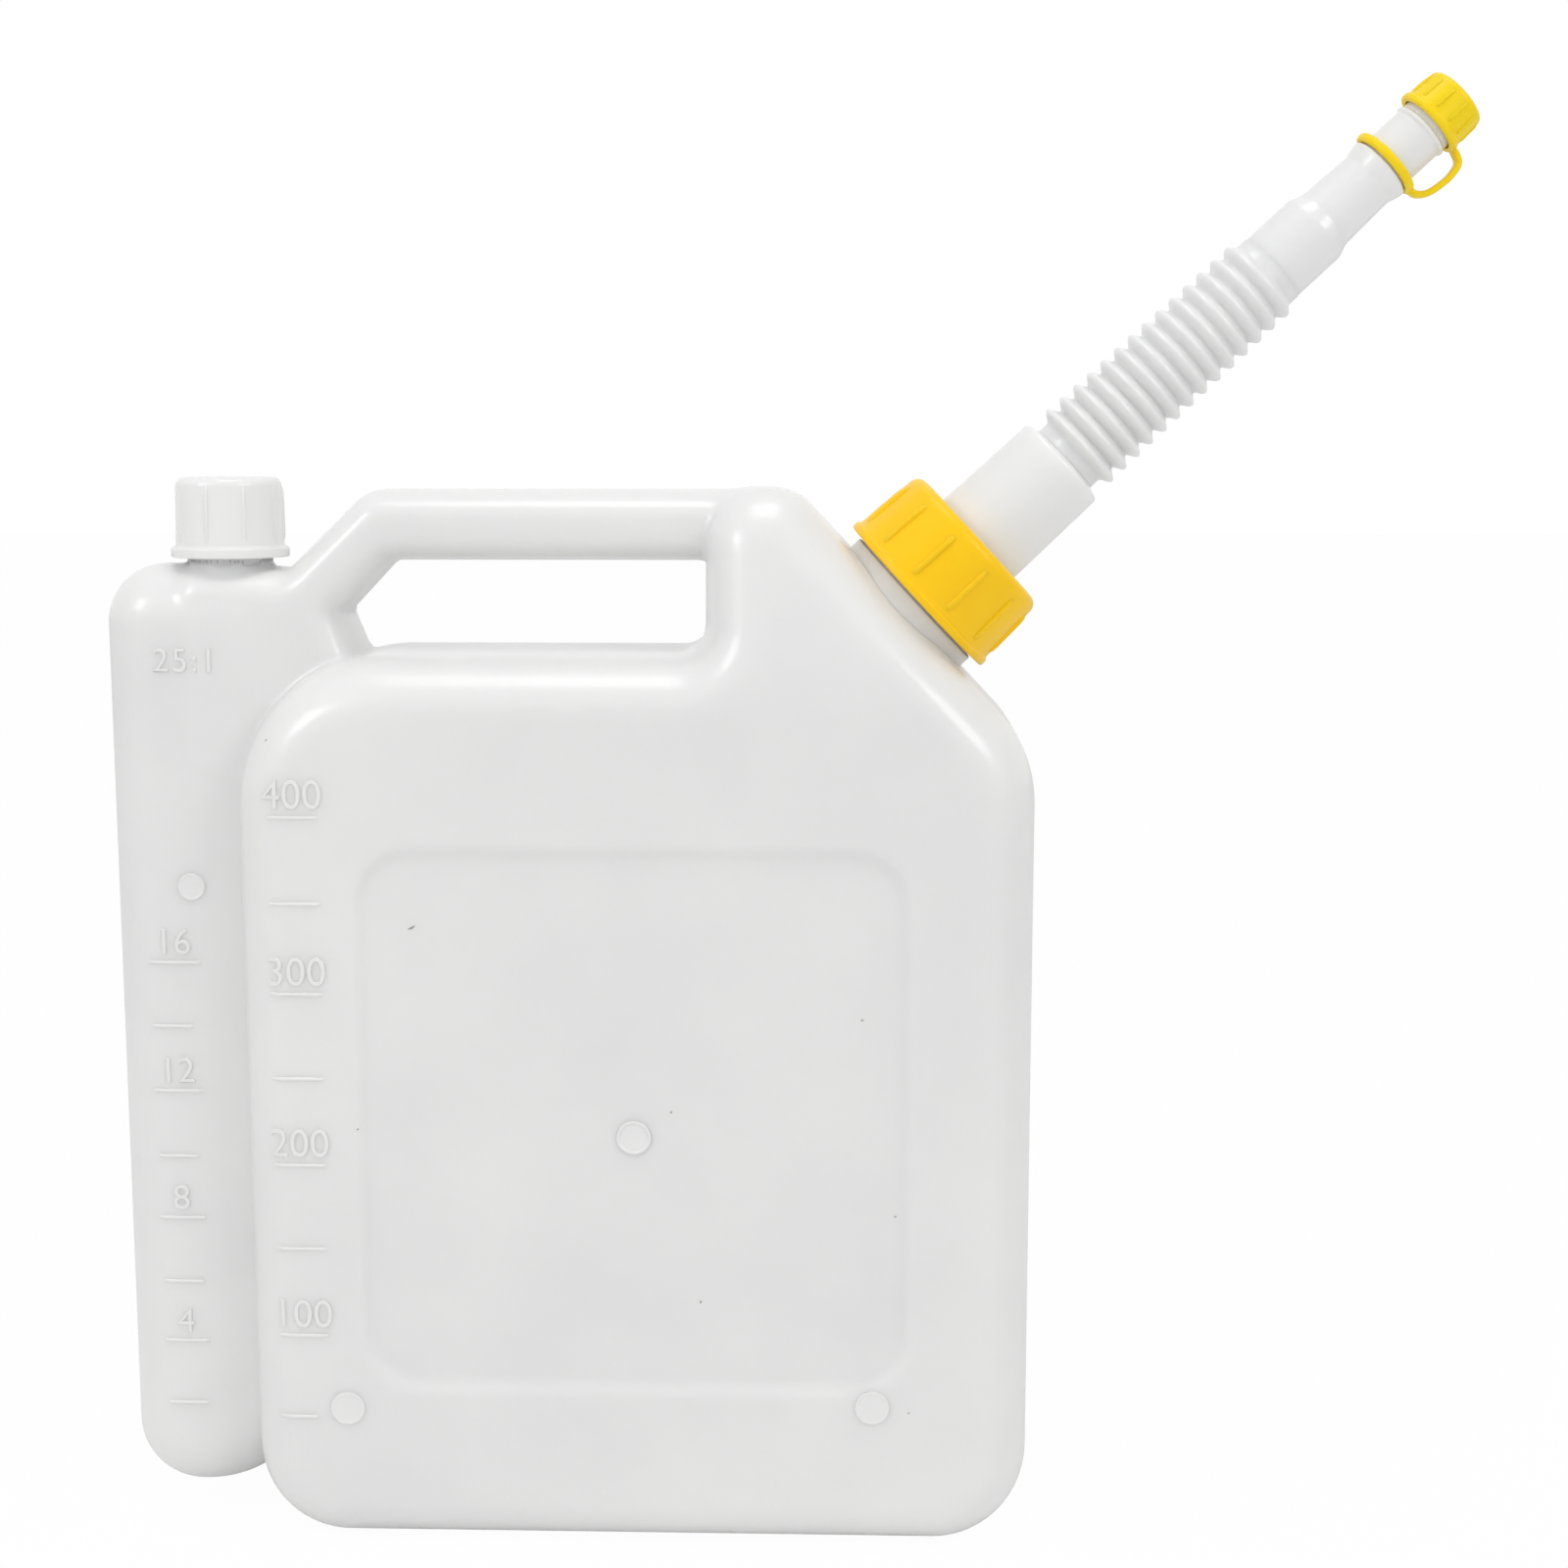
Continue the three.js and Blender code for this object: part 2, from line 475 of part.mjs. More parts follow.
function makeBottle() {
  const tankArgs = [TANK_DEPTH, TANK_SIDE_ROUND, TANK_FACE_ROUND];
  const handleArgs = [HANDLE_DEPTH, HANDLE_SIDE_ROUND, HANDLE_FACE_ROUND];
  const columnArgs = [COLUMN_DEPTH, COLUMN_ROUND, COLUMN_ROUND];
  let tank = leaned(pillowSolid(tankCorners(), ...tankArgs));
  let tankHollow = leaned(pillowHollow(tankCorners(), ...tankArgs));
  const frame = pillowSolid(handleCorners(), ...handleArgs)
    .add(pillowSolid(columnCorners(), ...columnArgs));
  const frameHollow = pillowHollow(handleCorners(), ...handleArgs)
    .add(pillowHollow(columnCorners(), ...columnArgs))
    .subtract(tank);
  const duct = pillowHollow(ductCorners(), ...handleArgs);
  for (const side of [-1, 1]) {
    tank = tank.subtract(panelCut(TANK_DEPTH / 2, side));
    tankHollow = tankHollow.subtract(panelCut(TANK_DEPTH / 2 - WALL, side));
  }
  const neck = turned([
    [0, -NECK_HEIGHT],
    [NECK_RADIUS, -NECK_HEIGHT],
    [NECK_RADIUS, NECK_BEAD_HEIGHT],
    [NECK_THREAD_ROOT_RADIUS, NECK_BEAD_HEIGHT],
    [NECK_THREAD_ROOT_RADIUS, NECK_HEIGHT],
    [0, NECK_HEIGHT],
  ]);
  const neckBore = turned([
    [0, -NECK_HEIGHT / 2],
    [NECK_BORE_RADIUS, -NECK_HEIGHT / 2],
    [NECK_BORE_RADIUS, NECK_HEIGHT + CUT_OVERRUN],
    [0, NECK_HEIGHT + CUT_OVERRUN],
  ]);
  const oilNeck = turned([
    [0, OIL_NECK_ROOT],
    [OIL_NECK_RADIUS, OIL_NECK_ROOT],
    [OIL_NECK_RADIUS, OIL_NECK_RIM],
    [0, OIL_NECK_RIM],
  ], SMALL_LATHE_SEGMENTS);
  const oilBore = turned([
    [0, OIL_NECK_ROOT - CUT_OVERRUN],
    [OIL_NECK_BORE_RADIUS, OIL_NECK_ROOT - CUT_OVERRUN],
    [OIL_NECK_BORE_RADIUS, OIL_NECK_RIM + CUT_OVERRUN],
    [0, OIL_NECK_RIM + CUT_OVERRUN],
  ], SMALL_LATHE_SEGMENTS);
  const outside = joined([
    tank,
    frame,
    toSolid(placeOnNeck(neck)),
    toSolid(moved(oilNeck, OIL_NECK_X, 0, 0)),
  ]);
  const inside = joined([
    tankHollow,
    frameHollow,
    duct,
    toSolid(placeOnNeck(neckBore)),
    toSolid(moved(oilBore, OIL_NECK_X, 0, 0)),
  ]);
  const marks = joined([gateMark(-1), gateMark(1)]);
  return toGeometry(outside.subtract(inside).add(marks));
}

// Ribs around a cap whose side leans from one radius to another.
function ribs(count, width, height, length, start, lowRadius, highRadius) {
  const lean = Math.atan2(lowRadius - highRadius, length);
  const solids = [];
  for (let i = 0; i < count; i += 1) {
    const rib = new THREE.BoxGeometry(2 * height, width, length);
    rib.rotateY(-lean);
    rib.translate((lowRadius + highRadius) / 2, 0, start + length / 2);
    rib.rotateZ((2 * Math.PI * (i + 0.5)) / count);
    solids.push(toSolid(rib));
  }
  return solids;
}

// A quarter round from a cap's side to its top, as profile points.
function edgeRound(radius, height, round) {
  const points = [];
  for (let k = 0; k <= EDGE_ROUND_STEPS; k += 1) {
    const angle = (Math.PI / 2) * (k / EDGE_ROUND_STEPS);
    const inward = round * (1 - Math.cos(angle));
    points.push([radius - inward, height - round + round * Math.sin(angle)]);
  }
  return points;
}

function makeOilCap() {
  const shell = toSolid(turned([
    [OIL_CAP_BORE_RADIUS, OIL_CAP_BOTTOM],
    [OIL_CAP_FLANGE_RADIUS, OIL_CAP_BOTTOM],
    [OIL_CAP_FLANGE_RADIUS, OIL_CAP_FLANGE_END],
    [OIL_CAP_RADIUS, OIL_CAP_FLANGE_END],
    ...edgeRound(OIL_CAP_TOP_RADIUS, OIL_CAP_TOP, OIL_CAP_ROUND),
    [0, OIL_CAP_TOP],
    [0, OIL_CAP_CEILING],
    [OIL_CAP_BORE_RADIUS, OIL_CAP_CEILING],
    [OIL_CAP_BORE_RADIUS, OIL_CAP_BOTTOM],
  ]));
  const grips = ribs(OIL_CAP_RIB_COUNT, OIL_CAP_RIB_WIDTH, OIL_CAP_RIB_HEIGHT, OIL_CAP_RIB_LENGTH,
    OIL_CAP_FLANGE_END + OIL_CAP_RIB_GAP, OIL_CAP_RADIUS, OIL_CAP_TOP_RADIUS);
  return moved(toGeometry(joined([shell, ...grips])), OIL_NECK_X, 0, 0);
}

function makeOilLiner() {
  const disc = turned([
    [0, OIL_LINER_BOTTOM],
    [OIL_LINER_RADIUS, OIL_LINER_BOTTOM],
    [OIL_LINER_RADIUS, OIL_LINER_TOP],
    [0, OIL_LINER_TOP],
  ], SMALL_LATHE_SEGMENTS);
  return moved(disc, OIL_NECK_X, 0, 0);
}

function makeCollar() {
  const holeRadius = BASE_TUBE_RADIUS + TUBE_CLEARANCE;
  const shell = toSolid(turned([
    [COLLAR_BORE_RADIUS, COLLAR_START],
    [COLLAR_FLANGE_RADIUS, COLLAR_START],
    [COLLAR_FLANGE_RADIUS, COLLAR_FLANGE_END],
    [COLLAR_RADIUS, COLLAR_FLANGE_END],
    ...edgeRound(COLLAR_TOP_RADIUS, COLLAR_END, COLLAR_ROUND),
    [holeRadius, COLLAR_END],
    [holeRadius, COLLAR_CEILING],
    [COLLAR_BORE_RADIUS, COLLAR_CEILING],
    [COLLAR_BORE_RADIUS, COLLAR_START],
  ]));
  const grips = ribs(COLLAR_RIB_COUNT, COLLAR_RIB_WIDTH, COLLAR_RIB_HEIGHT, COLLAR_RIB_LENGTH,
    COLLAR_FLANGE_END + COLLAR_RIB_GAP, COLLAR_RADIUS, COLLAR_TOP_RADIUS);
  return placeOnNeck(toGeometry(joined([shell, ...grips])));
}

function makeGasket() {
  return placeOnNeck(turned([
    [GASKET_BORE_RADIUS, GASKET_START],
    [SPOUT_FLANGE_RADIUS, GASKET_START],
    [SPOUT_FLANGE_RADIUS, GASKET_END],
    [GASKET_BORE_RADIUS, GASKET_END],
    [GASKET_BORE_RADIUS, GASKET_START],
  ]));
}

// Flange and plain tube, drawn in at its end to the corrugated length's bore.
function makeSpoutBase() {
  const chamfer = SPOUT_WALL / 2;
  const lipRadius = BELLOWS_TROUGH_RADIUS - BASE_LIP_OVERLAP;
  return placeOnNeck(turned([
    [BASE_TUBE_RADIUS - SPOUT_WALL, SPOUT_START],
    [SPOUT_FLANGE_RADIUS, SPOUT_START],
    [SPOUT_FLANGE_RADIUS, SPOUT_FLANGE_END],
    [BASE_TUBE_RADIUS, SPOUT_FLANGE_END],
    [BASE_TUBE_END_RADIUS, BASE_END - chamfer],
    [BASE_TUBE_END_RADIUS - chamfer, BASE_END],
    [lipRadius, BASE_END],
    [lipRadius, BASE_END - SPOUT_WALL],
    [BASE_TUBE_END_RADIUS - SPOUT_WALL, BASE_END - 2 * SPOUT_WALL],
    [BASE_TUBE_RADIUS - SPOUT_WALL, SPOUT_START],
  ]));
}

// Profile of the corrugated length: rounded crests between rounded troughs, slightly tapered.
function bellowsOutline(stepsPerTurn, inset) {
  const start = BELLOWS_START + BELLOWS_LEAD_IN;
  const turnLength = (BELLOWS_LENGTH - 2 * BELLOWS_LEAD_IN) / BELLOWS_TURNS;
  const trough = BELLOWS_TROUGH_RADIUS - inset;
  const points = [[trough, BELLOWS_START]];
  const count = BELLOWS_TURNS * stepsPerTurn;
  for (let i = 0; i <= count; i += 1) {
    const crest = THREE.MathUtils.lerp(BELLOWS_CREST_RADIUS, BELLOWS_CREST_END_RADIUS, i / count) - inset;
    const wave = (1 - Math.cos((2 * Math.PI * i) / stepsPerTurn)) / 2;
    const radius = THREE.MathUtils.lerp(trough, crest, wave);
    points.push([radius, start + (i * turnLength) / stepsPerTurn]);
  }
  points.push([trough, BELLOWS_END]);
  return points;
}

function makeBellows() {
  const outer = bellowsOutline(BELLOWS_STEPS_PER_TURN, 0);
  const inner = bellowsOutline(BELLOWS_HOLLOW_STEPS_PER_TURN, SPOUT_WALL).reverse();
  return placeOnNeck(turned([...outer, ...inner, outer[0]], SMALL_LATHE_SEGMENTS));
}

function makeNozzle() {
  const neckEnd = TIP_CAP_CEILING - SEAT_CLEARANCE;
  return placeOnNeck(turned([
    [MID_TUBE_RADIUS, NOZZLE_START],
    [MID_TUBE_RADIUS, MID_TUBE_END],
    [NOZZLE_RADIUS, STEP_END],
    [NOZZLE_END_RADIUS, FLARE_START],
    [FLARE_RADIUS, FLARE_START + FLARE_LENGTH / 2],
    [FLARE_RADIUS, FLARE_END],
    [TIP_NECK_RADIUS, FLARE_END],
    [TIP_NECK_RADIUS, neckEnd],
    [TIP_NECK_RADIUS - SPOUT_WALL, neckEnd],
    [TIP_NECK_RADIUS - SPOUT_WALL, FLARE_START],
    [NOZZLE_RADIUS - SPOUT_WALL, STEP_END],
    [MID_TUBE_RADIUS - SPOUT_WALL, MID_TUBE_END],
    [MID_TUBE_RADIUS - SPOUT_WALL, NOZZLE_START],
    [MID_TUBE_RADIUS, NOZZLE_START],
  ], SMALL_LATHE_SEGMENTS));
}

function makeTipRing() {
  return placeOnNeck(turned([
    [TIP_RING_BORE_RADIUS, TIP_RING_START],
    [TIP_RING_RADIUS, TIP_RING_START],
    [TIP_RING_RADIUS, TIP_RING_END],
    [TIP_RING_BORE_RADIUS, TIP_RING_END],
    [TIP_RING_BORE_RADIUS, TIP_RING_START],
  ], SMALL_LATHE_SEGMENTS));
}

// The strap bows outward from the ring's rim to the cap's flange, on the spout's lower side.
function makeTipStrap() {
  const start = (TIP_RING_START + TIP_RING_END) / 2;
  const end = (TIP_CAP_START + TIP_CAP_FLANGE_END) / 2;
  const ringSide = TIP_RING_RADIUS + SEAT_CLEARANCE;
  const capSide = TIP_CAP_FLANGE_RADIUS + SEAT_CLEARANCE;
  const bow = TIP_CAP_FLANGE_RADIUS + STRAP_BULGE;
  const ringShoulder = THREE.MathUtils.lerp(ringSide, bow, STRAP_SHOULDER_SHARE);
  const capShoulder = THREE.MathUtils.lerp(capSide, bow, STRAP_SHOULDER_SHARE);
  const path = new THREE.CatmullRomCurve3([
    new THREE.Vector3(ringSide, 0, start),
    new THREE.Vector3(ringShoulder, 0, start + STRAP_SHOULDER),
    new THREE.Vector3(bow, 0, (start + end) / 2),
    new THREE.Vector3(capShoulder, 0, end - STRAP_SHOULDER),
    new THREE.Vector3(capSide, 0, end),
  ]);
  const section = new THREE.Shape([
    new THREE.Vector2(-STRAP_WIDTH / 2, -STRAP_THICKNESS / 2),
    new THREE.Vector2(STRAP_WIDTH / 2, -STRAP_THICKNESS / 2),
    new THREE.Vector2(STRAP_WIDTH / 2, STRAP_THICKNESS / 2),
    new THREE.Vector2(-STRAP_WIDTH / 2, STRAP_THICKNESS / 2),
  ]);
  const settings = { steps: STRAP_STEPS, extrudePath: path, bevelEnabled: false };
  return placeOnNeck(new THREE.ExtrudeGeometry(section, settings));
}

function makeTipCap() {
  const shell = toSolid(turned([
    [TIP_CAP_BORE_RADIUS, TIP_CAP_START],
    [TIP_CAP_FLANGE_RADIUS, TIP_CAP_START],
    [TIP_CAP_FLANGE_RADIUS, TIP_CAP_FLANGE_END],
    [TIP_CAP_RADIUS, TIP_CAP_FLANGE_END],
    ...edgeRound(TIP_CAP_TOP_RADIUS, TIP_CAP_END, TIP_CAP_ROUND),
    [0, TIP_CAP_END],
    [0, TIP_CAP_CEILING],
    [TIP_CAP_BORE_RADIUS, TIP_CAP_CEILING],
    [TIP_CAP_BORE_RADIUS, TIP_CAP_START],
  ], SMALL_LATHE_SEGMENTS));
  const grips = ribs(TIP_CAP_RIB_COUNT, TIP_CAP_RIB_WIDTH, TIP_CAP_RIB_HEIGHT, TIP_CAP_RIB_LENGTH,
    TIP_CAP_FLANGE_END + TIP_CAP_RIB_GAP, TIP_CAP_RADIUS, TIP_CAP_TOP_RADIUS);
  return placeOnNeck(toGeometry(joined([shell, ...grips])));
}

const milky = new THREE.MeshStandardMaterial({ color: 0xe9e9e7, roughness: 0.35, metalness: 0 });
const clearer = new THREE.MeshStandardMaterial({ color: 0xefefee, roughness: 0.3, metalness: 0 });
const yellow = new THREE.MeshStandardMaterial({ color: 0xf9cb12, roughness: 0.3, metalness: 0 });
const sealFoam = new THREE.MeshStandardMaterial({ color: 0xf4f4f0, roughness: 0.8, metalness: 0 });
const sealRubber = new THREE.MeshStandardMaterial({ color: 0x2b2b2d, roughness: 0.7, metalness: 0 });

const bottleSet = new THREE.Group();

function addPiece(name, geometry, material) {
  geometry.computeVertexNormals();
  const mesh = new THREE.Mesh(geometry, material);
  mesh.name = name;
  bottleSet.add(mesh);
}

addPiece('bottle', makeBottle(), milky);
addPiece('oil_cap', makeOilCap(), clearer);
addPiece('oil_cap_liner', makeOilLiner(), sealFoam);
addPiece('spout_collar', makeCollar(), yellow);
addPiece('spout_gasket', makeGasket(), sealRubber);
addPiece('spout_base', makeSpoutBase(), milky);
addPiece('spout_bellows', makeBellows(), milky);
addPiece('spout_nozzle', makeNozzle(), milky);
addPiece('tip_ring', makeTipRing(), yellow);
addPiece('tip_strap', makeTipStrap(), yellow);
addPiece('tip_cap', makeTipCap(), yellow);

export default bottleSet;
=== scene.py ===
import math
from itertools import product

import bpy
import numpy as np
from mathutils import Euler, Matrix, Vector


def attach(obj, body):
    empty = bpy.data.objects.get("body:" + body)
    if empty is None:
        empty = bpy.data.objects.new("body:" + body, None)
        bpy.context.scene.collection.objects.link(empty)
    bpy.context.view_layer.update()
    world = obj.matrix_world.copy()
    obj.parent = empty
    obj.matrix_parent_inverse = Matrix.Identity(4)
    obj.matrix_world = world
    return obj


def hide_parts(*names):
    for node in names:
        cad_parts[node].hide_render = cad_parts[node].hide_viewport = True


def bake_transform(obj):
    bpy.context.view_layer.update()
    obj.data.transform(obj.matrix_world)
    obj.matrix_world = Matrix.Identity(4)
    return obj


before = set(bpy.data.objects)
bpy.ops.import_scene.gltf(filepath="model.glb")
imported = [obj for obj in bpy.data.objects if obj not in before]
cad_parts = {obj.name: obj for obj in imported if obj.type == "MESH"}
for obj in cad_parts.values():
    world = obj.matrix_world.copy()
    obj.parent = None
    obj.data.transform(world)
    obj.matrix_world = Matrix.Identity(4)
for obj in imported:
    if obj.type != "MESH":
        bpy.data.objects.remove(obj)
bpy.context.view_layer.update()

# Sizes are in millimetres and become metres when a mesh is made.
MM = 0.001

# Tank and shoulder
TANK_LEFT = -57.25
TANK_RIGHT = 57.25
TANK_DEPTH = 38
TANK_TOP = 131.8
TANK_SIDE_ROUND = 7.4
TANK_FACE_ROUND = 10
SHOULDER_LEFT = 10.05
SHOULDER_TOP = 155.3
SLOPE_TOP_X = 22.42
SLOPE_END_Z = 117.95
LEAN_START = 127
LEAN_RATE = 0.0107
LEAN_BLEND = 2.5
TANK_CORNERS = [
    (TANK_LEFT, 0, 14),
    (TANK_RIGHT, 0, 14),
    (TANK_RIGHT, SLOPE_END_Z, 19),
    (SLOPE_TOP_X, SHOULDER_TOP, 8),
    (SHOULDER_LEFT, SHOULDER_TOP, 8),
    (SHOULDER_LEFT, TANK_TOP, 4.4),
    (TANK_LEFT, TANK_TOP, 22),
]

# Recessed panel on both faces
PANEL_HALF = 38
PANEL_LOW = 26.6
PANEL_HIGH = 103.4
PANEL_CORNERS = [
    (-PANEL_HALF, PANEL_LOW, 7),
    (PANEL_HALF, PANEL_LOW, 7),
    (PANEL_HALF, PANEL_HIGH, 7),
    (-PANEL_HALF, PANEL_HIGH, 7),
]
PANEL_DEPTH = 0.9
PANEL_SLANT = 2.2

# Oil column
COLUMN_LEFT = -78.35
COLUMN_RIGHT = -50.25
COLUMN_DEPTH = 17
COLUMN_ROUND = 8.2
COLUMN_TOP = 144.2
COLUMN_MIDDLE = (COLUMN_LEFT + TANK_LEFT) / 2
COLUMN_CORNERS = [
    (COLUMN_LEFT, 3.2, 10.2),
    (COLUMN_RIGHT, 3.2, 17.5),
    (COLUMN_RIGHT, COLUMN_TOP, 8.6),
    (COLUMN_LEFT, COLUMN_TOP, 8.6),
]

# Handle bar and its leg
HANDLE_DEPTH = 17
HANDLE_TOP = 155
HANDLE_GAP_TOP = 144.8
HANDLE_SIDE_ROUND = 4
HANDLE_FACE_ROUND = 6.5
HANDLE_END = 20
HANDLE_CORNERS = [
    (COLUMN_MIDDLE, 113.8, 4.3),
    (-50.85, 105.8, 4.3),
    (-38.75, 127.2, 4.3),
    (-42.85, 137.4, 0.8),
    (-35.85, HANDLE_GAP_TOP, 3),
    (HANDLE_END, HANDLE_GAP_TOP, 4.3),
    (HANDLE_END, HANDLE_TOP, 4.3),
    (-39.15, HANDLE_TOP, 5.7),
    (-51.05, 143.5, 1.8),
    (COLUMN_MIDDLE, COLUMN_TOP, 4.3),
]

# How softly the blown forms and the oil neck run into each other, and the net that the body is made on
CREASE_SOFTNESS = 1.1
OIL_NECK_SOFTNESS = 0.9
NET_CELL = 0.92
NET_LOW = (-80.5, -20.5, -1.5)
NET_HIGH = (60.5, 20.5, 157)
NET_PASSES = 4

# Necks. The slanted one is measured along its axis from the slope.
NECK_TILT = math.radians(43)
NECK_ROOT = (38.65, 0, 137.9)
NECK_BEAD_RADIUS = 11.8
NECK_BEAD_TOP = 2
NECK_THREAD_ROOT = 11.15
NECK_BORE = 9.6
NECK_BORE_REACH = 20
NECK_RIM = 9.4
OIL_NECK_X = -60.35
OIL_NECK_RADIUS = 6.1
OIL_NECK_BORE = 5.1
OIL_NECK_ROOT_RISE = 1.5
OIL_NECK_ROOT_DEPTH = 8
OIL_NECK_RIM = 154.2
BORE_DEPTH = 34

# Scales on the front: height, left end and right end of each line, and the number that stands on it
TANK_MARKS = [
    (20.6, -52.15, -46.55, ""),
    (33.0, -52.05, -44.75, "100"),
    (46.1, -51.95, -44.65, ""),
    (58.6, -51.95, -44.45, "200"),
    (71.4, -51.85, -44.45, ""),
    (83.8, -51.75, -44.25, "300"),
    (96.9, -51.65, -44.25, ""),
    (109.3, -51.55, -44.35, "400"),
]
COLUMN_MARKS = [
    (18.1, -71.75, -65.65, ""),
    (27.9, -72.05, -65.25, "4"),
    (37.2, -71.75, -65.65, ""),
    (47.1, -72.15, -65.15, "8"),
    (56.6, -71.85, -65.75, ""),
    (66.6, -72.35, -64.85, "12"),
    (76.4, -72.15, -65.95, ""),
    (86.0, -72.45, -64.65, "16"),
]
MARK_WIDTH = 0.5
MARK_HEIGHT = 0.22
MARK_SINK = 0.25
TANK_DIGIT_SIZE = 5.9
COLUMN_DIGIT_SIZE = 5.4
DIGIT_RISE = 1.3
RATIO_TEXT = ("25:1", -65.3, 128.9, 4.9)

# Round gate marks on the front: place, radius and height
GATE_MARKS = [
    (-0.05, 62.9, 2.47, 0.3),
    (34.35, 22.9, 2.5, 0.12),
    (-42.25, 21.9, 2.5, 0.12),
    (-65.55, 97.3, 2.0, 0.12),
]
# Specks in the plastic: place, length, width and turn
SPECKS = [
    (-31.45, 93.4, 1.1, 0.34, 0.5),
    (32.65, 80.4, 0.42, 0.3, 0.0),
    (5.35, 66.7, 0.4, 0.3, 0.9),
    (-51.75, 120.0, 0.42, 0.32, 0.3),
    (9.45, 38.4, 0.4, 0.28, 1.2),
    (37.55, 51.5, 0.36, 0.3, 0.2),
    (-39.75, 64.0, 0.38, 0.26, 0.7),
    (39.65, 22.2, 0.3, 0.26, 0.0),
]

# Spout and its closures, along the neck's axis
COLLAR_START = 2.3
COLLAR_END = 14.5
COLLAR_RADIUS = 13.4
COLLAR_TOP_RADIUS = 12.75
COLLAR_BORE = 12.1
COLLAR_HOLE = 8.05
COLLAR_CEILING = 13.2
COLLAR_FLANGE_RADIUS = 13.8
SPOUT_FLANGE_RADIUS = 11.4
SPOUT_FLANGE_START = 11.4
SPOUT_FLANGE_END = 12.9
COLLAR_RIB_COUNT = 12
BELLOWS_START = 31.3
BELLOWS_END = 70.9
BELLOWS_TURNS = 14
BELLOWS_LEAD_IN = 1.6
BELLOWS_CREST = 7.0
BELLOWS_CREST_END = 6.5
BELLOWS_TROUGH = 5.5
BELLOWS_WALL = 0.8
NOZZLE_BORE = 3.1
NOZZLE_END = 104.5
FLARE_START = 90.2
TIP_RING_START = 91.5
TIP_RING_END = 92.8
TIP_CAP_START = 99.8
TIP_CAP_END = 105.7
TIP_CAP_BORE = 4.4
OIL_CAP_BOTTOM = 145.1
OIL_CAP_TOP = 156.7
OIL_CAP_CEILING = 155.6
OIL_CAP_BORE = 7.0
OIL_CAP_RIB_COUNT = 9
TIP_CAP_RIB_COUNT = 12
THREAD_SINK = 0.2
STRAP_RING = 20
STRAP_WIDTH = 2.5
STRAP_THICKNESS = 1
# Places of the strap's middle line: distance from the neck's axis and place along it
STRAP_KNOTS = [
    (5.1, 92.15),
    (6.2, 92.5),
    (7.15, 93.8),
    (7.55, 95.9),
    (7.55, 97.8),
    (6.95, 99.6),
    (5.2, 100.3),
]

FINE = 96
SMALL = 64


# Flat geometry of the outlines

def outline_parts(corners):
    """Straight sides and corner arcs of an outline whose corners are (x, z, radius)."""
    sides = []
    arcs = []
    ends = []
    count = len(corners)
    for i, (x, z, radius) in enumerate(corners):
        here = np.array([x, z], float)
        before = np.array(corners[i - 1][:2], float) - here
        after = np.array(corners[(i + 1) % count][:2], float) - here
        before /= np.linalg.norm(before)
        after /= np.linalg.norm(after)
        half = math.acos(np.clip(before @ after, -1, 1)) / 2
        reach = radius / math.tan(half)
        bisector = before + after
        bisector /= np.linalg.norm(bisector)
        centre = here + bisector * radius / math.sin(half)
        turn = -np.sign(before[0] * after[1] - before[1] * after[0])
        arcs.append((centre, radius, turn, -bisector, math.cos(math.pi / 2 - half)))
        ends.append((here + before * reach, here + after * reach))
    for i in range(count):
        sides.append((ends[i][1], ends[(i + 1) % count][0]))
    return sides, arcs


def outline_depth(parts, x, z):
    """Signed distance inside an outline drawn anticlockwise: positive inside."""
    sides, arcs = parts
    best = np.full(np.shape(x), 1e9)
    for start, end in sides:
        along = end - start
        length = np.linalg.norm(along)
        along = along / length
        share = (x - start[0]) * along[0] + (z - start[1]) * along[1]
        depth = -(x - start[0]) * along[1] + (z - start[1]) * along[0]
        depth = np.where((share >= -1e-6) & (share <= length + 1e-6), depth, 1e9)
        best = np.where(np.abs(depth) < np.abs(best), depth, best)
    for centre, radius, turn, outward, limit in arcs:
        dx = x - centre[0]
        dz = z - centre[1]
        away = np.sqrt(dx * dx + dz * dz) + 1e-12
        inside_sector = (dx * outward[0] + dz * outward[1]) / away >= limit - 1e-6
        depth = np.where(inside_sector, turn * (radius - away), 1e9)
        best = np.where(np.abs(depth) < np.abs(best), depth, best)
    return best


TANK_PARTS = outline_parts(TANK_CORNERS)
PANEL_PARTS = outline_parts(PANEL_CORNERS)
COLUMN_PARTS = outline_parts(COLUMN_CORNERS)
HANDLE_PARTS = outline_parts(HANDLE_CORNERS)


# The blown body as one smooth field, negative inside

def smooth_ramp(value):
    share = np.clip(value, 0, 1)
    return share * share * (3 - 2 * share)


def soft_union(a, b, softness):
    share = np.clip(0.5 + 0.5 * (b - a) / softness, 0, 1)
    return b + (a - b) * share - softness * share * (1 - share)


def pillow(depth, y, thickness, side, face):
    """Distance to a flat body whose edge is a quarter ellipse, side wide and face deep."""
    inward = np.maximum(side - depth, 0)
    forward = np.maximum(np.abs(y) - (thickness / 2 - face), 0)
    ring = np.sqrt((inward / side) ** 2 + (forward / face) ** 2)
    slope = np.sqrt((inward / side ** 2) ** 2 + (forward / face ** 2) ** 2)
    curved = ring * (ring - 1) / np.maximum(slope, 1e-9)
    inner = np.maximum(-depth, np.abs(y) - thickness / 2)
    return np.where(ring > 1e-6, curved, inner)


def lean(z):
    """How far the shoulder's faces have drawn together at a height."""
    rise = np.logaddexp(0, (z - LEAN_START) / LEAN_BLEND) * LEAN_BLEND
    return 1 - LEAN_RATE * rise


def recess(x, z):
    inside = outline_depth(PANEL_PARTS, x, z)
    return PANEL_DEPTH * smooth_ramp((inside + PANEL_SLANT) / PANEL_SLANT)


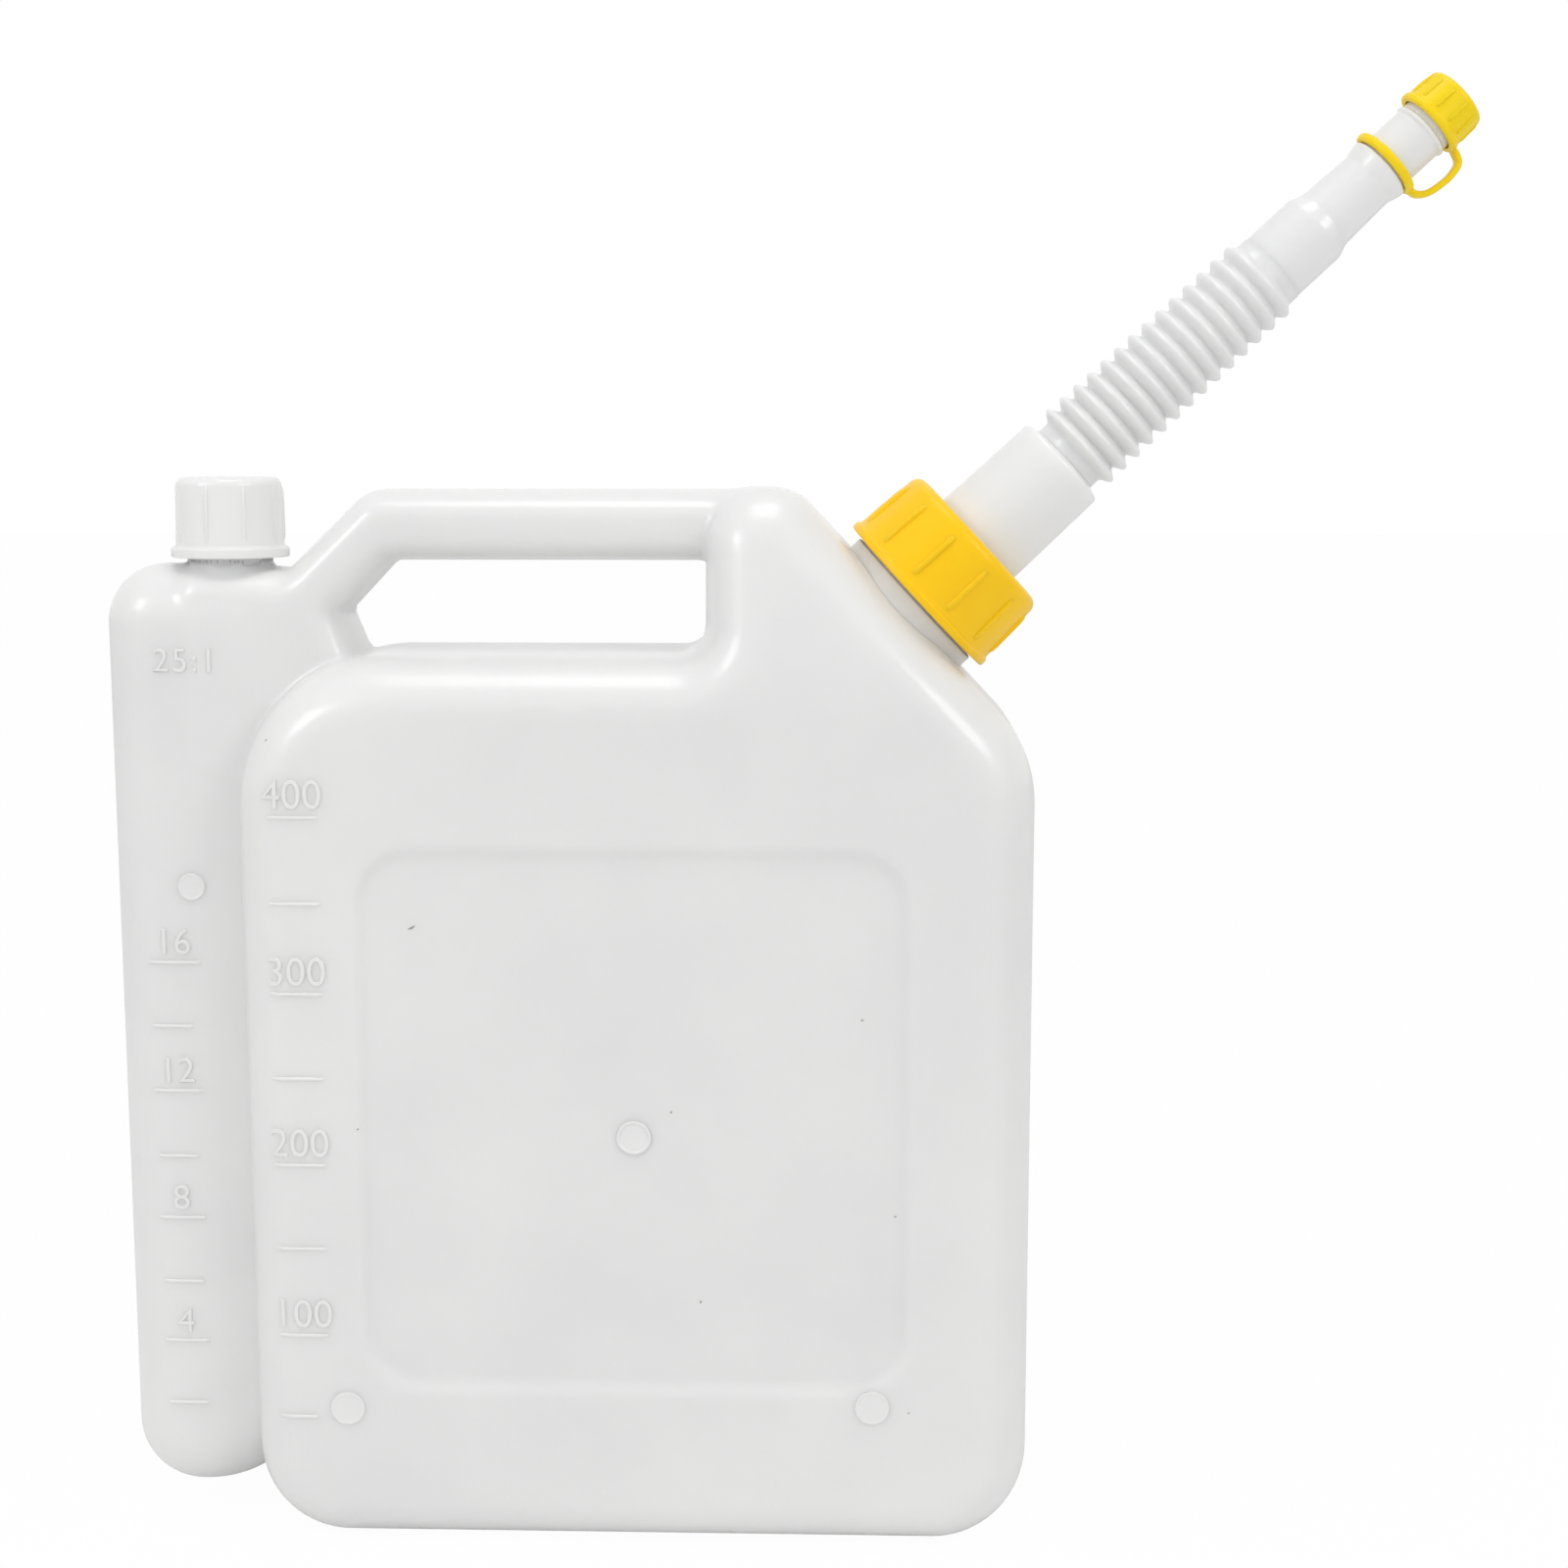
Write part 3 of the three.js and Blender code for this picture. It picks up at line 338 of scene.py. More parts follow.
def along_neck(x, y, z):
    """Place along the neck's axis and distance from it."""
    dx = x - NECK_ROOT[0]
    dz = z - NECK_ROOT[2]
    along = dx * math.cos(NECK_TILT) + dz * math.sin(NECK_TILT)
    across = dx * math.sin(NECK_TILT) - dz * math.cos(NECK_TILT)
    return along, np.sqrt(across ** 2 + y ** 2)


def tank_field(x, y, z):
    scale = lean(z)
    front = np.abs(y) / scale + recess(x, z)
    depth = outline_depth(TANK_PARTS, x, z)
    return pillow(depth, front, TANK_DEPTH, TANK_SIDE_ROUND, TANK_FACE_ROUND) * scale


def column_field(x, y, z):
    return pillow(outline_depth(COLUMN_PARTS, x, z), y, COLUMN_DEPTH, COLUMN_ROUND, COLUMN_ROUND)


def handle_field(x, y, z):
    return pillow(outline_depth(HANDLE_PARTS, x, z), y, HANDLE_DEPTH, HANDLE_SIDE_ROUND, HANDLE_FACE_ROUND)


def body_field(p):
    x, y, z = p[..., 0], p[..., 1], p[..., 2]
    body = soft_union(column_field(x, y, z), handle_field(x, y, z), CREASE_SOFTNESS)
    body = soft_union(body, tank_field(x, y, z), CREASE_SOFTNESS)
    along, away = along_neck(x, y, z)
    oil_away = np.sqrt((x - OIL_NECK_X) ** 2 + y ** 2)
    root = np.maximum(z - COLUMN_TOP - OIL_NECK_ROOT_RISE, COLUMN_TOP - OIL_NECK_ROOT_DEPTH - z)
    body = soft_union(body, np.maximum(oil_away - OIL_NECK_RADIUS, root), OIL_NECK_SOFTNESS)
    bore = np.maximum(away - NECK_BORE, np.maximum(along - NECK_BORE_REACH, -BORE_DEPTH - along))
    oil_bore = np.maximum(oil_away - OIL_NECK_BORE, COLUMN_TOP - BORE_DEPTH - z)
    return np.maximum(body, -np.minimum(bore, oil_bore))


def field_slope(points, step=0.04):
    slope = np.empty_like(points)
    for axis in range(3):
        shift = np.zeros(3)
        shift[axis] = step
        slope[:, axis] = (body_field(points + shift) - body_field(points - shift)) / (2 * step)
    return slope


def settle(points, rounds):
    """Moves points onto the field's zero surface."""
    for _ in range(rounds):
        value = body_field(points)
        slope = field_slope(points)
        size = np.maximum((slope ** 2).sum(1), 0.25)
        move = -(value / size)[:, None] * slope
        length = np.linalg.norm(move, axis=1)
        points = points + move * np.minimum(1, NET_CELL / np.maximum(length, 1e-9))[:, None]
    return points


def net_faces(inside, index):
    """Quads of a surface net: one round every grid edge that crosses the surface."""
    faces = []
    for axis in range(3):
        low = np.moveaxis(inside, axis, 0)[:-1]
        high = np.moveaxis(inside, axis, 0)[1:]
        crossing = low != high
        crossing[:, 0, :] = False
        crossing[:, :, 0] = False
        crossing[:, -1, :] = False
        crossing[:, :, -1] = False
        where = np.argwhere(crossing)
        cells = np.moveaxis(index, axis, 0)
        quad = np.stack([
            cells[where[:, 0], where[:, 1] - 1, where[:, 2] - 1],
            cells[where[:, 0], where[:, 1], where[:, 2] - 1],
            cells[where[:, 0], where[:, 1], where[:, 2]],
            cells[where[:, 0], where[:, 1] - 1, where[:, 2]],
        ], axis=1)
        outward = low[tuple(where.T)]
        if axis == 1:
            outward = ~outward
        quad[~outward] = quad[~outward][:, ::-1]
        faces.append(quad)
    return np.concatenate(faces)


def relax(points, faces):
    """Evens out the net along the surface."""
    edges = np.concatenate([faces[:, [0, 1]], faces[:, [1, 2]], faces[:, [2, 3]], faces[:, [3, 0]]])
    total = np.zeros_like(points)
    count = np.zeros(len(points))
    for a, b in ((0, 1), (1, 0)):
        np.add.at(total, edges[:, a], points[edges[:, b]])
        np.add.at(count, edges[:, a], 1)
    mean = total / np.maximum(count, 1)[:, None]
    normal = field_slope(points)
    normal /= np.maximum(np.linalg.norm(normal, axis=1), 1e-9)[:, None]
    move = mean - points
    move -= (move * normal).sum(1)[:, None] * normal
    return points + 0.6 * move


def body_net():
    axes = [np.arange(low, high + NET_CELL, NET_CELL) for low, high in zip(NET_LOW, NET_HIGH)]
    grid = np.stack(np.meshgrid(*axes, indexing="ij"), axis=-1)
    inside = body_field(grid) < 0
    corners = np.zeros([n - 1 for n in inside.shape], int)
    for i, j, k in product((0, 1), repeat=3):
        corners += inside[i:inside.shape[0] - 1 + i, j:inside.shape[1] - 1 + j, k:inside.shape[2] - 1 + k]
    mixed = (corners > 0) & (corners < 8)
    index = np.full(mixed.shape, -1)
    index[mixed] = np.arange(mixed.sum())
    points = np.array(NET_LOW) + (np.argwhere(mixed) + 0.5) * NET_CELL
    faces = net_faces(inside, index)
    points = settle(points, 3)
    for _ in range(NET_PASSES):
        points = settle(relax(points, faces), 2)
    return points, faces


# Meshes

def make_piece(name, points, faces, material, body=None, smooth_angle=None):
    """A mesh object from points in millimetres."""
    mesh = bpy.data.meshes.new(name)
    mesh.from_pydata((np.asarray(points, float) * MM).tolist(), [], [list(map(int, f)) for f in faces])
    mesh.validate()
    mesh.shade_smooth()
    if smooth_angle:
        mesh.set_sharp_from_angle(angle=math.radians(smooth_angle))
    mesh.materials.append(material)
    piece = bpy.data.objects.new(name, mesh)
    bpy.context.scene.collection.objects.link(piece)
    if body:
        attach(piece, body)
    return piece


def rounded_profile(corners, step=18):
    """A closed profile of (radius, height) points from corners (radius, height, corner radius)."""
    points = []
    count = len(corners)
    for i, (r, h, radius) in enumerate(corners):
        here = np.array([r, h], float)
        if radius == 0:
            points.append(here)
            continue
        before = np.array(corners[i - 1][:2], float) - here
        after = np.array(corners[(i + 1) % count][:2], float) - here
        before /= np.linalg.norm(before)
        after /= np.linalg.norm(after)
        half = math.acos(np.clip(before @ after, -1, 1)) / 2
        reach = radius / math.tan(half)
        bisector = (before + after) / np.linalg.norm(before + after)
        centre = here + bisector * radius / math.sin(half)
        first = here + before * reach - centre
        turn = (math.pi - 2 * half) * -np.sign(before[0] * after[1] - before[1] * after[0])
        steps = max(2, math.ceil(abs(math.degrees(turn)) / step))
        for k in range(steps + 1):
            angle = turn * k / steps
            c, s = math.cos(angle), math.sin(angle)
            points.append(centre + np.array([c * first[0] - s * first[1], s * first[0] + c * first[1]]))
    return points


def turned(profile, segments):
    """Points and faces of a ring turned about +Z from a closed profile; radius 0 points close it."""
    points = []
    rings = []
    for radius, height in profile:
        if radius < 1e-6:
            rings.append([len(points)] * segments)
            points.append((0, 0, height))
            continue
        start = len(points)
        for k in range(segments):
            angle = 2 * math.pi * k / segments
            points.append((radius * math.cos(angle), radius * math.sin(angle), height))
        rings.append(list(range(start, start + segments)))
    faces = []
    count = len(rings)
    for i in range(count):
        low, high = rings[i], rings[(i + 1) % count]
        for k in range(segments):
            n = (k + 1) % segments
            face = []
            for corner in (low[k], low[n], high[n], high[k]):
                if corner not in face:
                    face.append(corner)
            if len(face) > 2:
                faces.append(face)
    return points, faces


def on_neck(points):
    """Moves points made along +Z onto the slanted neck's axis."""
    p = np.asarray(points, float)
    c, s = math.cos(NECK_TILT), math.sin(NECK_TILT)
    x = NECK_ROOT[0] + p[:, 2] * c + p[:, 0] * s
    z = NECK_ROOT[2] + p[:, 2] * s - p[:, 0] * c
    return np.stack([x, p[:, 1], z], axis=1)


def shifted(points, x=0, y=0, z=0):
    return np.asarray(points, float) + np.array([x, y, z])


def joined(parts):
    points = []
    faces = []
    for some_points, some_faces in parts:
        start = len(points)
        points.extend(map(tuple, some_points))
        faces.extend([start + corner for corner in face] for face in some_faces)
    return points, faces


def helix(radius, start, end, pitch, depth, width):
    """A screw thread that stands on a cylinder, with run-outs at both ends."""
    turns = (end - start) / pitch
    steps = int(turns * SMALL)
    points = []
    faces = []
    for k in range(steps + 1):
        share = k / steps
        angle = 2 * math.pi * turns * share
        fade = min(1, share * turns * 4, (1 - share) * turns * 4)
        height = start + (end - start) * share
        crest = depth * fade
        root = -THREAD_SINK
        for r, h in ((root, -width / 2), (crest, -width / 5), (crest, width / 5), (root, width / 2)):
            points.append(((radius + r) * math.cos(angle), (radius + r) * math.sin(angle), height + h))
    for k in range(steps):
        a = 4 * k
        for j in range(4):
            n = (j + 1) % 4
            faces.append((a + j, a + 4 + j, a + 4 + n, a + n))
    faces.append((0, 1, 2, 3))
    faces.append((4 * steps + 3, 4 * steps + 2, 4 * steps + 1, 4 * steps))
    return points, faces


def rib(angle, low_radius, high_radius, low, high, width, height):
    """A rounded grip rib that leans with its cap's side and tapers out at both ends."""
    points = []
    faces = []
    steps = 10
    across = 7
    for i in range(steps + 1):
        share = i / steps
        fade = min(1, 4 * share, 4 * (1 - share))
        fade = math.sqrt(max(0, 1 - (1 - fade) ** 2))
        radius = low_radius + (high_radius - low_radius) * share
        for j in range(across):
            side = -1 + 2 * j / (across - 1)
            lift = height * fade * math.sqrt(max(0, 1 - side * side)) - 0.12 * (abs(side) == 1)
            turn = angle + side * width / 2 / radius
            r = radius + lift
            points.append((r * math.cos(turn), r * math.sin(turn), low + (high - low) * share))
    for i in range(steps):
        for j in range(across - 1):
            a = i * across + j
            faces.append((a, a + 1, a + across + 1, a + across))
    return points, faces


# Materials

def new_material(name, color, roughness):
    material = bpy.data.materials.new(name)
    material.use_nodes = True
    shader = material.node_tree.nodes["Principled BSDF"]
    shader.inputs["Base Color"].default_value = (*color, 1)
    shader.inputs["Roughness"].default_value = roughness
    return material, shader


def add_noise(material, scale, detail, stretch=(1, 1, 1)):
    """Noise that is fixed to the object, with its scale in cells a metre."""
    nodes = material.node_tree.nodes
    links = material.node_tree.links
    place = nodes.new("ShaderNodeTexCoord")
    mapping = nodes.new("ShaderNodeMapping")
    mapping.inputs["Scale"].default_value = stretch
    noise = nodes.new("ShaderNodeTexNoise")
    noise.inputs["Scale"].default_value = scale
    noise.inputs["Detail"].default_value = detail
    links.new(place.outputs["Object"], mapping.inputs["Vector"])
    links.new(mapping.outputs["Vector"], noise.inputs["Vector"])
    return noise.outputs["Fac"]


def vary_color(material, shader, source, dark, light):
    ramp = material.node_tree.nodes.new("ShaderNodeValToRGB")
    ramp.color_ramp.elements[0].position = 0.3
    ramp.color_ramp.elements[0].color = (*dark, 1)
    ramp.color_ramp.elements[1].position = 0.7
    ramp.color_ramp.elements[1].color = (*light, 1)
    material.node_tree.links.new(source, ramp.inputs["Fac"])
    material.node_tree.links.new(ramp.outputs["Color"], shader.inputs["Base Color"])


def vary_roughness(material, shader, source, low, high):
    span = material.node_tree.nodes.new("ShaderNodeMapRange")
    span.inputs["To Min"].default_value = low
    span.inputs["To Max"].default_value = high
    material.node_tree.links.new(source, span.inputs["Value"])
    material.node_tree.links.new(span.outputs["Result"], shader.inputs["Roughness"])


def add_bump(material, shader, sources, distance, strength):
    """Sums the sources into one fine relief."""
    nodes = material.node_tree.nodes
    links = material.node_tree.links
    total = sources[0]
    for other in sources[1:]:
        add = nodes.new("ShaderNodeMath")
        links.new(total, add.inputs[0])
        links.new(other, add.inputs[1])
        total = add.outputs["Value"]
    bump = nodes.new("ShaderNodeBump")
    bump.inputs["Distance"].default_value = distance
    bump.inputs["Strength"].default_value = strength
    links.new(total, bump.inputs["Height"])
    links.new(bump.outputs["Normal"], shader.inputs["Normal"])


def milky_material(name, dark, light, scatter):
    """Blown polyethylene: cloudy, slightly streaked up and down, with a satin skin under a smooth sheen."""
    material, shader = new_material(name, light, 0.36)
    clouds = add_noise(material, 34, 3)
    streaks = add_noise(material, 260, 2, (1, 1, 0.06))
    skin = add_noise(material, 1300, 3)
    vary_color(material, shader, clouds, dark, light)
    vary_roughness(material, shader, streaks, 0.3, 0.42)
    add_bump(material, shader, [streaks, skin], 0.00006, 0.35)
    shader.inputs["Subsurface Weight"].default_value = scatter
    shader.inputs["Subsurface Radius"].default_value = (1, 0.97, 0.93)
    shader.inputs["Subsurface Scale"].default_value = 0.004
    shader.inputs["IOR"].default_value = 1.5
    shader.inputs["Coat Weight"].default_value = 0.4
    shader.inputs["Coat Roughness"].default_value = 0.16
    return material


def yellow_material(name, dark, light):
    """Injection-moulded coloured polyethylene."""
    material, shader = new_material(name, light, 0.36)
    clouds = add_noise(material, 120, 2)
    skin = add_noise(material, 2200, 3)
    vary_color(material, shader, clouds, dark, light)
    vary_roughness(material, shader, clouds, 0.32, 0.42)
    add_bump(material, shader, [skin], 0.00005, 0.3)
    shader.inputs["Subsurface Weight"].default_value = 0.15
    shader.inputs["Subsurface Radius"].default_value = (1, 0.6, 0.1)
    shader.inputs["Subsurface Scale"].default_value = 0.0015
    shader.inputs["Specular IOR Level"].default_value = 0.3
    return material


def clear_material():
    """Uncoloured moulded polypropylene that lets a little of what is under it show."""
    material, shader = new_material("clearer_plastic", (0.96, 0.96, 0.955), 0.22)
    clouds = add_noise(material, 160, 2)
    skin = add_noise(material, 1800, 2)
    vary_roughness(material, shader, clouds, 0.16, 0.26)
    add_bump(material, shader, [skin], 0.00004, 0.25)
    shader.inputs["Alpha"].default_value = 0.8
    shader.inputs["IOR"].default_value = 1.45
    return material


def seal_material(name, dark, light, roughness, grain):
    material, shader = new_material(name, light, roughness)
    pores = add_noise(material, grain, 4)
    vary_color(material, shader, pores, dark, light)
    add_bump(material, shader, [pores], 0.0001, 0.5)
    return material


def speck_material():
    material, shader = new_material("speck", (0.4, 0.37, 0.33), 0.6)
    vary_color(material, shader, add_noise(material, 1500, 2), (0.33, 0.3, 0.26), (0.5, 0.47, 0.43))
    return material


MILKY = milky_material("milky_plastic", (0.76, 0.765, 0.76), (0.81, 0.812, 0.805), 0.45)
# The raised marks are the body's own plastic, here without scatter and made a little lighter: the lift in
# colour is painted light over the shade on the raised marks.
MARKS_PAINTED_LIGHTER = milky_material("marks_plastic_painted_lighter", (0.78, 0.785, 0.78), (0.82, 0.822, 0.815), 0)
MILKY_SPOUT = milky_material("milky_spout_plastic", (0.82, 0.825, 0.818), (0.86, 0.86, 0.852), 0.3)
YELLOW = yellow_material("yellow_plastic", (0.98, 0.58, 0.0), (1, 0.6, 0.0))
TIP_YELLOW = yellow_material("tip_yellow_plastic", (0.92, 0.65, 0.0), (0.95, 0.69, 0.001))
CLEAR = clear_material()
FOAM = seal_material("liner_foam", (0.78, 0.78, 0.76), (0.86, 0.86, 0.84), 0.85, 2600)
RUBBER = seal_material("gasket_rubber", (0.018, 0.018, 0.019), (0.03, 0.03, 0.031), 0.65, 3200)
SPECK = speck_material()


# Pieces of the blown bottle

def surface_y(x, z):
    """Y of the front surface at a place seen from the front, found by walking in from the front."""
    x = np.atleast_1d(np.asarray(x, float))
    z = np.atleast_1d(np.asarray(z, float))
    low = np.full(x.shape, NET_LOW[1])
    high = np.full(x.shape, -1.0)
    for _ in range(28):
        middle = (low + high) / 2
        inside = body_field(np.stack([x, middle, z], axis=-1)) < 0
        high = np.where(inside, middle, high)
        low = np.where(inside, low, middle)
    return (low + high) / 2


def make_body():
    points, faces = body_net()
    piece = make_piece("bottle_body", points, faces, MILKY, "bottle")
    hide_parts("bottle")
    return piece


def make_tank_neck():
    profile = rounded_profile([
        (NECK_BORE, -3, 0),
        (NECK_BEAD_RADIUS, -3, 0),
        (NECK_BEAD_RADIUS, NECK_BEAD_TOP, 0.3),
        (NECK_THREAD_ROOT, NECK_BEAD_TOP, 0.1),
        (NECK_THREAD_ROOT, NECK_RIM, 0.5),
        (NECK_BORE, NECK_RIM, 0.5),
    ])
    tube = turned(profile, FINE)
    thread = helix(NECK_THREAD_ROOT, NECK_BEAD_TOP + 1.1, NECK_RIM - 1.4, 3, 0.6, 1.7)
    points, faces = joined([tube, thread])
    piece = make_piece("tank_neck", on_neck(points), faces, MILKY, "bottle", 40)


def make_oil_neck():
    profile = rounded_profile([
        (OIL_NECK_BORE, COLUMN_TOP - 2, 0),
        (OIL_NECK_RADIUS, COLUMN_TOP - 2, 0),
        (OIL_NECK_RADIUS, OIL_NECK_RIM, 0.4),
        (OIL_NECK_BORE, OIL_NECK_RIM, 0.3),
    ])
    tube = turned(profile, SMALL)
    thread = helix(OIL_NECK_RADIUS, COLUMN_TOP + 2.3, OIL_NECK_RIM - 0.9, 1.9, 0.58, 1.1)
    points, faces = joined([tube, thread])
    piece = make_piece("oil_neck", shifted(points, x=OIL_NECK_X), faces, MILKY, "bottle", 40)


def mark_bar(height, left, right):
    """A rounded raised line that follows the front surface."""
    steps = 16
    points = []
    faces = []
    ring = [(-0.5, -MARK_SINK), (-0.5, 0.35 * MARK_HEIGHT), (-0.25, MARK_HEIGHT), (0.25, MARK_HEIGHT),
            (0.5, 0.35 * MARK_HEIGHT), (0.5, -MARK_SINK)]
    xs = np.linspace(left, right, steps + 1)
    ys = surface_y(xs, np.full(steps + 1, height))
    for i, (x, y) in enumerate(zip(xs, ys)):
        fade = 1 if 0 < i < steps else 0.2
        for across, lift in ring:
            points.append((x, y - lift * fade, height + across * MARK_WIDTH))
    count = len(ring)
    for i in range(steps):
        for j in range(count - 1):
            a = i * count + j
            faces.append((a, a + count, a + count + 1, a + 1))
    faces.append(tuple(range(count)))
    faces.append(tuple(reversed(range(steps * count, (steps + 1) * count))))
    return points, faces


def digits(text, middle, low, size, spacing=1):
    """Raised generic numbers that follow the front surface."""
    curve = bpy.data.curves.new("digits", "FONT")
    curve.body = text
    curve.size = size
    curve.space_character = spacing
    curve.align_x = "CENTER"
    curve.offset = -0.06
    curve.extrude = 0.2
    curve.bevel_depth = 0.06
    curve.bevel_resolution = 0
    holder = bpy.data.objects.new("digits", curve)
    bpy.context.scene.collection.objects.link(holder)
    bpy.context.view_layer.update()
    ready = holder.evaluated_get(bpy.context.evaluated_depsgraph_get())
    mesh = bpy.data.meshes.new_from_object(ready)
    flat = np.array([tuple(v.co) for v in mesh.vertices])
    faces = [tuple(reversed(p.vertices)) for p in mesh.polygons]
    bpy.data.objects.remove(holder)
    bpy.data.meshes.remove(mesh)
    x = middle + flat[:, 0]
    z = low + flat[:, 1]
    lift = np.where(flat[:, 2] > 0, MARK_HEIGHT - (0.26 - flat[:, 2]), flat[:, 2])
    return np.stack([x, surface_y(x, z) - lift, z], axis=1), [tuple(reversed(f)) for f in faces]


def make_scales():
    for name, marks, size in (("tank_scale", TANK_MARKS, TANK_DIGIT_SIZE),
                              ("column_scale", COLUMN_MARKS, COLUMN_DIGIT_SIZE)):
        parts = [mark_bar(height, left, right) for height, left, right, _ in marks]
        for height, left, right, number in marks:
            if number:
                parts.append(digits(number, (left + right) / 2, height + DIGIT_RISE, size))
        if name == "column_scale":
            text, middle, low, text_size = RATIO_TEXT
            parts.append(digits(text, middle, low, text_size, 1.15))
        points, faces = joined(parts)
        piece = make_piece(name, points, faces, MARKS_PAINTED_LIGHTER, "bottle", 35)


def make_gate_marks():
    parts = []
    for x, z, radius, height in GATE_MARKS:
        level = float(surface_y(x, z)[0])
        profile = rounded_profile([
            (0, -0.3, 0),
            (radius, -0.3, 0),
            (radius, height, 0.1 * min(1, height / 0.12)),
            (radius * 0.86, height, 0.1),
            (radius * 0.8, height * 0.45, 0.2),
            (0, height * 0.45, 0),
        ])
        points, faces = turned(profile, SMALL)
        placed = [(x + px, level - h, z + py) for px, py, h in points]
        parts.append((placed, faces))
    points, faces = joined(parts)
    piece = make_piece("gate_marks", points, faces, MARKS_PAINTED_LIGHTER, "bottle", 40)


def make_specks():
    parts = []
    for x, z, length, width, turn in SPECKS:
        level = float(surface_y(x, z)[0])
        points, faces = turned([(0, -0.06), (0.8, -0.05), (1, 0), (0.8, 0.03), (0.4, 0.05), (0, 0.055)], 16)
        placed = []
        for px, py, h in points:
            wobble = 1 + 0.18 * math.sin(3 * math.atan2(py, px) + x)
            a = px * length / 2 * wobble
            b = py * width / 2 * wobble
            placed.append((x + a * math.cos(turn) - b * math.sin(turn), level - h,
                           z + a * math.sin(turn) + b * math.cos(turn)))
        parts.append((placed, faces))
    points, faces = joined(parts)
    piece = make_piece("specks", points, faces, SPECK, "bottle")


# Closures and spout

def make_oil_cap():
    profile = rounded_profile([
        (OIL_CAP_BORE, OIL_CAP_BOTTOM, 0.15),
        (8.5, OIL_CAP_BOTTOM, 0.3),
        (8.5, OIL_CAP_BOTTOM + 1.4, 0.35),
        (7.8, OIL_CAP_BOTTOM + 1.7, 0.3),
        (7.6, OIL_CAP_TOP, 1.3),
        (0, OIL_CAP_TOP, 0),
        (0, OIL_CAP_CEILING, 0),
        (OIL_CAP_BORE, OIL_CAP_CEILING, 0.4),
    ])
    parts = [turned(profile, FINE)]
    for k in range(OIL_CAP_RIB_COUNT):
        angle = 2 * math.pi * (k + 0.5) / OIL_CAP_RIB_COUNT
        parts.append(rib(angle, 7.75, 7.62, OIL_CAP_BOTTOM + 2.0, OIL_CAP_TOP - 1.2, 0.6, 0.28))
    points, faces = joined(parts)
    piece = make_piece("oil_cap_shell", shifted(points, x=OIL_NECK_X), faces, CLEAR, "oil_cap", 50)
    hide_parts("oil_cap")


def make_collar():
    profile = rounded_profile([
        (COLLAR_BORE, COLLAR_START, 0.2),
        (COLLAR_FLANGE_RADIUS, COLLAR_START, 0.35),
        (COLLAR_FLANGE_RADIUS, COLLAR_START + 1.1, 0.35),
        (COLLAR_RADIUS, COLLAR_START + 1.35, 0.3),
        (COLLAR_TOP_RADIUS, COLLAR_END, 1.7),
        (COLLAR_HOLE, COLLAR_END, 0.3),
        (COLLAR_HOLE, COLLAR_CEILING, 0.2),
        (COLLAR_BORE, COLLAR_CEILING, 0.3),
    ])
    parts = [turned(profile, FINE)]
    for k in range(COLLAR_RIB_COUNT):
        angle = 2 * math.pi * (k + 0.5) / COLLAR_RIB_COUNT
        parts.append(rib(angle, 13.28, 12.86, COLLAR_START + 2.0, COLLAR_END - 2.2, 1.05, 0.48))
    points, faces = joined(parts)
    piece = make_piece("ring_nut", on_neck(points), faces, YELLOW, "collar", 50)
    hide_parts("spout_collar")


def make_spout_base():
    profile = rounded_profile([
        (6.65, SPOUT_FLANGE_START, 0),
        (SPOUT_FLANGE_RADIUS, SPOUT_FLANGE_START, 0.3),
        (SPOUT_FLANGE_RADIUS, SPOUT_FLANGE_END, 0.3),
        (7.68, SPOUT_FLANGE_END, 0.5),
        (7.35, BELLOWS_START - 0.6, 0.7),
        (5.6, BELLOWS_START - 0.02, 0.4),
        (5.3, BELLOWS_START - 0.02, 0),
        (5.3, BELLOWS_START - 1.2, 0),
        (6.35, BELLOWS_START - 2.2, 0.3),
    ])
    points, faces = turned(profile, FINE)
    piece = make_piece("spout_foot", on_neck(points), faces, MILKY_SPOUT, "spout", 50)
    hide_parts("spout_base")


def bellows_profile():
    """Rounded crests and slightly tighter troughs, with the bore following at a wall's distance."""
    start = BELLOWS_START + BELLOWS_LEAD_IN
    span = BELLOWS_END - BELLOWS_LEAD_IN - start
    steps = 12 * BELLOWS_TURNS
    outer = [(BELLOWS_TROUGH, BELLOWS_START)]
    for i in range(steps + 1):
        share = i / steps
        crest = BELLOWS_CREST + (BELLOWS_CREST_END - BELLOWS_CREST) * share
        wave = (1 - math.cos(2 * math.pi * BELLOWS_TURNS * share)) / 2
        outer.append((BELLOWS_TROUGH + (crest - BELLOWS_TROUGH) * wave ** 0.8, start + span * share))
    outer.append((BELLOWS_TROUGH, BELLOWS_END))
    inner = [(radius - BELLOWS_WALL, height) for radius, height in reversed(outer)]
    return outer + inner


def make_bellows():
    points, faces = turned(bellows_profile(), SMALL)
    piece = make_piece("corrugated_tube", on_neck(points), faces, MILKY_SPOUT, smooth_angle=70)
    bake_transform(piece)
    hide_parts("spout_bellows")


